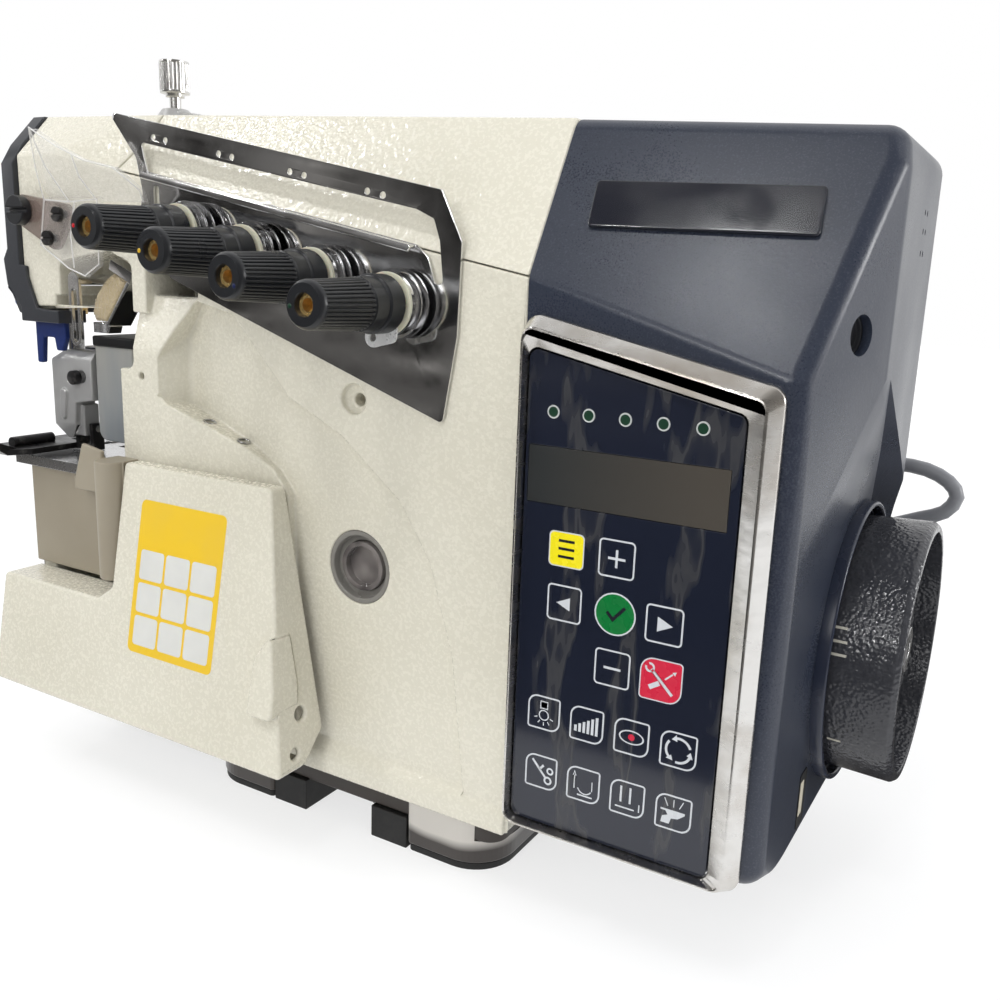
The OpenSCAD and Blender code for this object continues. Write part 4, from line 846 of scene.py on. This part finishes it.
# ----------------------------------------
# Thread tension: a folded mirror-plated plate, four steel posts with springs, plated
# discs, nylon washers, a ribbed black knob on each post, and small thread studs.

mirror = Finish("mirror_plating", (0.74, 0.74, 0.75), 0.06, Metallic=1.0)
fog = mirror.noise(22, 5.0, 0.65)
mirror.drift(fog, (0.66, 0.66, 0.66), (0.80, 0.80, 0.81), (0.40, 0.05), (0.80, 0.24))
mirror.bump(mirror.noise(14, 1.0), 0.5, 0.35)
refined("tension_plate", mirror, 0.25, 2, merge=0)

plating = Finish("bright_plating", (0.80, 0.80, 0.81), 0.09, Metallic=1.0)
smear = plating.noise(30, 5.0, 0.6)
hair = plating.noise(160, 6.0, 0.7)
plating.set(Roughness=plating.ramp(smear + hair * 0.25, (0.45, 0.05), (0.85, 0.26)),
            Base_Color=plating.mix(smear, (0.70, 0.70, 0.71), (0.86, 0.86, 0.87)))
plating.bump(plating.noise(26, 1.0), 0.22, 0.35)
refined("tension_discs", plating, 0.15, 2)

pale_steel = Finish("pale_steel", (0.80, 0.80, 0.79), 0.3, Metallic=0.35)
buffed = pale_steel.noise(160, 4.0)
pale_steel.drift(buffed, (0.70, 0.70, 0.69), (0.88, 0.88, 0.87), (0.3, 0.2), (0.7, 0.38))
refined("thread_eyelets", pale_steel, 0.15, 2)
for node in ("tension_posts", "tension_springs"):
    refined(node, steel, 0.15, 2)

# nylon washers, each crimped in a plated cap behind its front face
washer_nylon = Finish("washer_nylon", (0.62, 0.58, 0.44), 0.42, Subsurface_Weight=0.1)
yellowed = washer_nylon.noise(80, 3.0)
cap_y = -0.0783
cap_share = washer_nylon.along("Y") > cap_y
nylon = washer_nylon.mix(yellowed, (0.56, 0.51, 0.38), (0.68, 0.65, 0.52))
washer_nylon.set(Base_Color=washer_nylon.mix(cap_share, nylon, (0.78, 0.78, 0.78)), Metallic=cap_share,
                 Roughness=cap_share * -0.30 + 0.42)
refined("tension_washers", washer_nylon, 0.2, 2)

black_plastic = Finish("black_plastic", (0.008, 0.009, 0.011), 0.30)
satin = black_plastic.noise(90, 4.0)
black_plastic.drift(satin, (0.006, 0.007, 0.009), (0.014, 0.015, 0.018), (0.3, 0.40), (0.75, 0.24))
black_plastic.bump(black_plastic.noise(900, 2.0), 0.03, 0.5)

brass = Finish("turned_brass", (0.74, 0.50, 0.18), 0.26, Metallic=0.8)
knurl = brass.node("TexVoronoi", None, {"Vector": brass.place(), "Scale": 1500})
brass.set(Base_Color=brass.mix(brass.noise(300), (0.62, 0.38, 0.12), (0.90, 0.66, 0.28)))
brass.bump(knurl, 0.25, 0.8)

grip_r, sleeve_r, rim_lip = 7.5, 9.5, 0.8
flute_start, flute_l, middle_y = 3.2, 20.4, 10
flutes = 36
flute_depths = (0, 0, 0.12, 0.62, 0.62, 0.12)
nut_r, nut_l, nut_y, nut_wall = 3.38, 5, 4.6, 1.3
dot_r, dot_away = 0.75, 5.2
# the colour dot of each knob, and where it sits round the knob's face in degrees
dots = (((0.45, 0.006, 0.012), 178), ((0.60, 0.36, 0.0), 183),
        ((0.004, 0.010, 0.06), -32), ((0.0, 0.03, 0.012), 186))
# from the grip's front edge over the face and down the bore, then from its back edge over the
# sleeve and into it: each step's radius, and how far it lies along the post from the last
face_steps = ((grip_r, -1.0), (grip_r - 0.15, -0.9), (grip_r - 0.55, -0.7), (grip_r - 1.1, -0.6),
              (3.75, 0.0), (3.5, 0.35), (3.4, 9.0), (0.02, 0.0))
sleeve_steps = ((grip_r + 0.85, 0.5), (grip_r + 0.5, 0.35), (grip_r + 1.0, 0.35),
                (grip_r + 1.2, 5.6), (sleeve_r - 0.3, 0.3), (sleeve_r, 0.35), (sleeve_r, 6.6),
                (sleeve_r - 0.3, 0.3), (5.7, 0.0), (5.7, -6))


def edit_only(kind):
    """Opens the active piece in edit mode with nothing selected."""
    bpy.ops.object.mode_set(mode="EDIT")
    bpy.ops.mesh.select_mode(type=kind)
    bpy.ops.mesh.select_all(action="DESELECT")
    bpy.ops.object.mode_set(mode="OBJECT")


def extruded(shift):
    """Draws out what is selected along the post, in edit mode."""
    bpy.ops.mesh.extrude_region_move(TRANSFORM_OT_translate={"value": (0, shift * mm, 0)})
    bpy.ops.object.mode_set(mode="OBJECT")


def outwards(vertex):
    """The direction from the knob's axis to a vertex."""
    return Vector((vertex.co.x, 0, vertex.co.z)).normalized()


def ring_out(knob, indices, radius, shift):
    """Extrudes a ring of the knob to a radius, moved along the post."""
    edit_only("VERT")
    for i in indices:
        knob.data.vertices[i].select = True
    bpy.ops.object.mode_set(mode="EDIT")
    extruded(shift)
    fresh = [vertex.index for vertex in knob.data.vertices if vertex.select]
    for i in fresh:
        vertex = knob.data.vertices[i]
        away = outwards(vertex) * radius * mm
        vertex.co = (away.x, vertex.co.y, away.z)
    return fresh


# the knob, modelled once with its nose at the origin: its outline, ribs and grooves in turn,
# drawn out along the post
bpy.ops.mesh.primitive_circle_add(vertices=flutes * len(flute_depths), radius=grip_r * mm,
                                  location=(0, flute_start * mm, 0), rotation=(math.pi / 2, 0, 0))
knob = placed("knob_pattern")
for k, vertex in enumerate(knob.data.vertices):
    vertex.co -= outwards(vertex) * (flute_depths[k % len(flute_depths)] * mm)
bpy.ops.object.mode_set(mode="EDIT")
bpy.ops.mesh.select_mode(type="VERT")
bpy.ops.mesh.select_all(action="SELECT")
extruded(flute_l)
rim = [vertex.index for vertex in knob.data.vertices if vertex.co.y > middle_y * mm]
nose = [vertex.index for vertex in knob.data.vertices if vertex.co.y < middle_y * mm]
for i in rim:
    knob.data.vertices[i].co += outwards(knob.data.vertices[i]) * rim_lip * mm
for radius, shift in face_steps:
    nose = ring_out(knob, nose, radius, shift)
for radius, shift in sleeve_steps:
    rim = ring_out(knob, rim, radius, shift)
bpy.ops.object.mode_set(mode="EDIT")
bpy.ops.mesh.select_all(action="SELECT")
bpy.ops.mesh.normals_make_consistent(inside=False)
bpy.ops.object.mode_set(mode="OBJECT")
bpy.ops.object.shade_smooth_by_angle(angle=math.radians(32))

# the knurled brass nut at the bottom of its bore
bpy.ops.mesh.primitive_cylinder_add(vertices=32, radius=nut_r * mm, depth=nut_l * mm,
                                    location=(0, nut_y * mm, 0), rotation=(math.pi / 2, 0, 0))
nut = placed("nut_pattern")
edit_only("FACE")
for face in nut.data.polygons:
    face.select = face.normal.y < -0.9
bpy.ops.object.mode_set(mode="EDIT")
bpy.ops.mesh.inset(thickness=nut_wall * mm)
extruded(nut_l - 1)

# the colour dot pressed in its front face
bpy.ops.mesh.primitive_uv_sphere_add(segments=20, ring_count=10, radius=dot_r * mm)
bpy.context.object.scale = (1, 0.25, 1)
dot = placed("dot_pattern")
bpy.ops.object.shade_smooth()

for n, (tone, turn) in enumerate(dots, 1):
    low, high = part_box(f"tension_knob_{n}")
    place = Vector(((low[0] + high[0]) / 2, low[1], (low[2] + high[2]) / 2))
    grip = copied(knob, f"knob_{n}_grip", place)
    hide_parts(f"tension_knob_{n}")
    finished(grip, black_plastic, f"knob_{n}")
    finished(copied(nut, f"knob_{n}_nut", place), brass, f"knob_{n}")
    away, up = polar(dot_away, turn)
    spot = copied(dot, f"knob_{n}_dot", place + Vector((away, 0.02, up)) * mm)
    finished(spot, ink(f"dot_{n}", tone, 0.30, 0.3, 0.22, 0.40), f"knob_{n}")
for pattern in (knob, nut, dot):
    bpy.data.meshes.remove(pattern.data)

# two steel eyelets pressed in the thread holes of the casting's sloping ledge
ledge_lean = math.atan(0.281)
eyelet = wire_ring("eyelet_pattern", 2.35, 0.42, (0, ledge_lean, 0))
for number, place in enumerate(((-58.5, -61.8, 161.7), (-39.3, -62.6, 156.3))):
    piece = copied(eyelet, f"ledge_eyelet_{number + 1}", Vector(place) * mm)
    finished(piece, steel, "machine")
bpy.data.meshes.remove(eyelet.data)

# ----------------------------------------
# Presser pressure screw on top of the arm: a fluted plated knob on a threaded
# stem, over a cast boss.

fluted = Finish("fluted_plating", (0.72, 0.71, 0.69), 0.2, Metallic=1.0)
worn = fluted.noise(60, 4.0)
fluted.set(Roughness=fluted.ramp(worn, (0.35, 0.12), (0.75, 0.36)))
fluted.bump(fluted.noise(500, 2.0), 0.03, 0.4)
refined("pressure_knob", fluted, 0.12, 2, merge=0)

die_cast = Finish("die_cast", (0.50, 0.50, 0.50), 0.36, Metallic=0.6)
sandy = die_cast.noise(220, 5.0, 0.65)
tarnish = die_cast.noise(35, 4.0)
die_cast.set(Base_Color=die_cast.mix(tarnish, (0.40, 0.395, 0.39), (0.62, 0.62, 0.61)),
             Roughness=die_cast.ramp(sandy, (0.3, 0.28), (0.75, 0.52)))
die_cast.bump(sandy, 0.08, 0.5)
refined("pressure_boss", die_cast, 0.3, 2)

# ----------------------------------------
# Left end: the dark moulded end cover with its stepped lip, the blue hook of the same piece under the
# arm, its blue darkened to navy as painted shade, and the blue release lever behind it.

end_slate = Finish("end_slate", (0.030, 0.032, 0.038), 0.40)
mottle = end_slate.noise(600, 2.0)
hook_top, hook_left = 0.1959, -0.1608
# the hook under the arm is painted navy: its own blue, darkened as painted shade under the arm
hook_in_painted_shade = (end_slate.along("Z") < hook_top) * (end_slate.along("X") > hook_left)
end_slate.set(Base_Color=end_slate.mix(hook_in_painted_shade, (0.030, 0.032, 0.038), (0.003, 0.018, 0.12)))
end_slate.bump(mottle, 0.08, 0.5)
refined("end_cover", end_slate, 0.5, merge=0)

blue_plastic = Finish("blue_plastic", (0.0, 0.075, 0.34), 0.24, Coat_Weight=0.3)
blue_drift = blue_plastic.noise(60, 3.0)
blue_plastic.drift(blue_drift, (0.0, 0.06, 0.29), (0.0, 0.09, 0.38), (0.3, 0.2), (0.7, 0.36))
refined("release_lever", blue_plastic, 1.0, 3)

# ----------------------------------------
# Needle area: needle bar with its clamp and needles, the die-cast presser arm
# with its screw, the black foot, plate, feed dog and the two loopers.

for node, edge in (("needle_bar", 0.3), ("needle_clamp", 0.3), ("needles", 0.0), ("presser_pin", 0.2),
                   ("foot_pin", 0.1), ("needle_plate", 0.3), ("feed_dog", 0.1), ("upper_looper", 0.4),
                   ("lower_looper", 0.4), ("looper_pins", 0.2)):
    refined(node, steel, edge, 2)
refined("needle_bar_bushes", brass, 0.2, 2)
refined("presser_arm", die_cast, 0.7, 3)
black_steel = Finish("black_steel", (0.022, 0.021, 0.022), 0.32, Metallic=0.5)
bare = black_steel.noise(150, 5.0, 0.6)
black_steel.set(Base_Color=black_steel.mix(black_steel.ramp(bare, (0.55, 0.0), (0.75, 1.0)),
                                           (0.016, 0.015, 0.016), (0.10, 0.095, 0.09)),
                Roughness=black_steel.ramp(bare, (0.3, 0.26), (0.7, 0.5)))
refined("presser_foot", black_steel, 0.3, 2)

# black cap screw on the presser arm
bpy.ops.mesh.primitive_cylinder_add(vertices=40, radius=3.1 * mm, depth=3.4 * mm,
                                    location=(-140.2 * mm, -62.0 * mm, 172.6 * mm),
                                    rotation=(math.pi / 2, 0, 0))
cap = placed("presser_screw")
changed(cap, "BEVEL", width=0.5 * mm, segments=3)
bpy.ops.object.shade_smooth_by_angle(angle=math.radians(40))
finished(cap, black_steel, "presser")

# ----------------------------------------
# Thread oiler: a pad of oiled felt between the folded ends of a plated bracket, and
# a clouded plastic reservoir for the oil under a dark lid.

felt = Finish("oiled_felt", (0.46, 0.37, 0.23), 0.95, Sheen_Weight=0.4, Sheen_Roughness=0.5)
fibre = felt.noise(900, 6.0, 0.7)
soak = felt.noise(90, 3.0)
felt.set(Base_Color=felt.mix(soak, (0.40, 0.31, 0.17), (0.60, 0.50, 0.33)))
felt.bump(fibre + soak, 0.5, 0.8)
pad = refined("felt_wiper", felt, 2.2, 5)
bpy.context.view_layer.objects.active = pad
pad.select_set(True)
nap = bpy.data.textures.new("nap", "CLOUDS")
nap.noise_scale = 0.9 * mm
changed(pad, "REMESH", mode="VOXEL", voxel_size=0.3 * mm)
changed(pad, "SMOOTH", factor=0.5, iterations=4)
changed(pad, "DISPLACE", texture=nap, strength=1.3 * mm, mid_level=0.8)
bpy.ops.object.shade_smooth()
pad.select_set(False)
refined("wiper_bracket", plating, 0.25, 2)

clouded = Finish("clouded_plastic", (0.40, 0.42, 0.42), 0.38, Transmission_Weight=0.35, IOR=1.45)
height = clouded.along("Z")
lid_low = 0.18702
murk = clouded.noise(1.0, 3.0, 0.5, clouded.stretched(90, 90, 22))
tone = clouded.mix(clouded.ramp(murk + height * 8 - 1.35, (0.1, 0.0), (0.9, 1.0)),
                   (0.25, 0.28, 0.31), (0.46, 0.45, 0.41))
clouded.set(Base_Color=clouded.mix(height > lid_low, tone, (0.012, 0.012, 0.013)))
refined("oil_tank", clouded, 0.8, 3)

# ----------------------------------------
# Below the needle plate: a taupe moulded guard that keeps chips out of the loopers,
# and the ground steel pin on which the looper cover folds.

taupe = Finish("taupe_plastic", (0.40, 0.355, 0.275), 0.42)
taupe_drift = taupe.noise(25, 3.0)
taupe.drift(taupe_drift, (0.27, 0.232, 0.17), (0.36, 0.32, 0.245), (0.3, 0.34), (0.7, 0.5))
taupe.bump(taupe.noise(500, 2.0), 0.05, 0.5)
refined("chip_guard", taupe, 0.6, 3)
refined("cover_pin", steel, 0.2, 2)

# ----------------------------------------
# Eye guard: a clear moulded visor and apron on a smoked arm, two slotted
# screws, and the shoulder screw on which it swings up.


def clear(name, tone, least, most):
    """Clear plastic that looks denser where it turns edge-on."""
    acrylic = Finish(name, tone, 0.06, IOR=1.49)
    facing = acrylic.node("LayerWeight", None, {"Blend": 0.3}, "Facing")
    scuffs = acrylic.noise(50, 5.0, 0.65)
    acrylic.set(Alpha=acrylic.ramp(facing + scuffs * 0.12, (0.25, least), (0.95, most)),
                Roughness=acrylic.ramp(scuffs, (0.4, 0.04), (0.75, 0.22)))
    return acrylic


visor = clear("clear_visor", (0.70, 0.68, 0.66), 0.07, 0.6)
refined("eye_guard", visor, 0.5, 3)
refined("guard_arm", clear("smoked_arm", (0.22, 0.165, 0.14), 0.55, 0.9), 0.3, 2)


def tube(name, points, radius, resolution):
    """A curve through points, in metres, with a round section and closed ends."""
    curve = bpy.data.curves.new(name, "CURVE")
    curve.dimensions = "3D"
    curve.bevel_depth = radius * mm
    curve.bevel_resolution = resolution
    curve.use_fill_caps = True
    traced(curve, points)
    return curve


# moulded ribs and folds, which catch the light on the clear sheet
bead = clear("clear_bead", (0.86, 0.85, 0.83), 0.42, 0.95)
visor_y, fold_low, fold_high = -75.2, 245, 257
for number, run in enumerate((
        ((-138.6, 228), (-133.9, 246), (-127.2, 257.6), (-118, 271), (-108.2, 264.6), (-97, 259.6),
         (-82.2, 256.6), (-74.6, 249.0), (-76, 245)),
        ((-133.4, 246), (-119, 245.2), (-101.4, 246.2), (-103.2, 221.4), (-112, 216.6),
         (-121.8, 219.4), (-138.4, 228.2)),
        ((-118, 270.4), (-121, 258), (-119, 245.4)),
        ((-102, 261.4), (-104.4, 254), (-102, 246.2)),
        ((-116, 245), (-119.5, 232), (-118.2, 219.4)))):
    # the sheet is upright below its fold and leans out above it
    points = [(x * mm, (visor_y - max(z - fold_low, 0) * 0.667 + max(z - fold_high, 0) * 0.05) * mm,
               z * mm) for x, z in run]
    meshed(tube(f"visor_rib_{number + 1}", points, 0.32, 2), bead, "guard")

refined("guard_screws", black_steel, 0.2, 2)
refined("thumb_screw", black_plastic, 0.5, 3)

# ----------------------------------------
# Rear lead: a short grey jumper between two glands in the housing's back plate,
# in a satin sheath; each end goes back into the machine through its gland.

sheath = Finish("cable_sheath", (0.23, 0.235, 0.25), 0.38)
flex = sheath.noise(150, 3.0)
sheath.drift(flex, (0.20, 0.205, 0.22), (0.27, 0.275, 0.29), (0.3, 0.3), (0.7, 0.46))
lead_d = 6
route = [Vector(place) * mm for place in (
    (150, 89, 146), (150, 93, 146), (154, 97, 148), (164, 100, 150), (176, 101, 151),
    (188, 101, 150), (197, 101, 146), (201, 101, 140), (197, 101, 133), (188, 101, 129),
    (176, 101, 124), (164, 100, 119), (154, 97, 116), (150, 93, 116), (150, 89, 116))]
# a Catmull-Rom line through the route's points, with one more point between each two
line = []
for i in range(len(route) - 1):
    last, here, there, next_on = (route[min(max(i + k, 0), len(route) - 1)] for k in (-1, 0, 1, 2))
    for way in (0, 0.5):
        line.append(0.5 * (2 * here + (there - last) * way
                           + (2 * last - 5 * here + 4 * there - next_on) * way * way
                           + (3 * here - last - 3 * there + next_on) * way ** 3))
line.append(route[-1])
lead_length = sum((there - here).length for here, there in zip(line, line[1:]))
lead = bpy.data.objects.new("rear_lead", tube("rear_lead", line, lead_d / 2, 6))
bpy.context.collection.objects.link(lead)
lead.data.materials.append(sheath.material)
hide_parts("cable")
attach(lead, "machine")
refined("cable_glands", dark_plastic, 0.5, 2)

low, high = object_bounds()
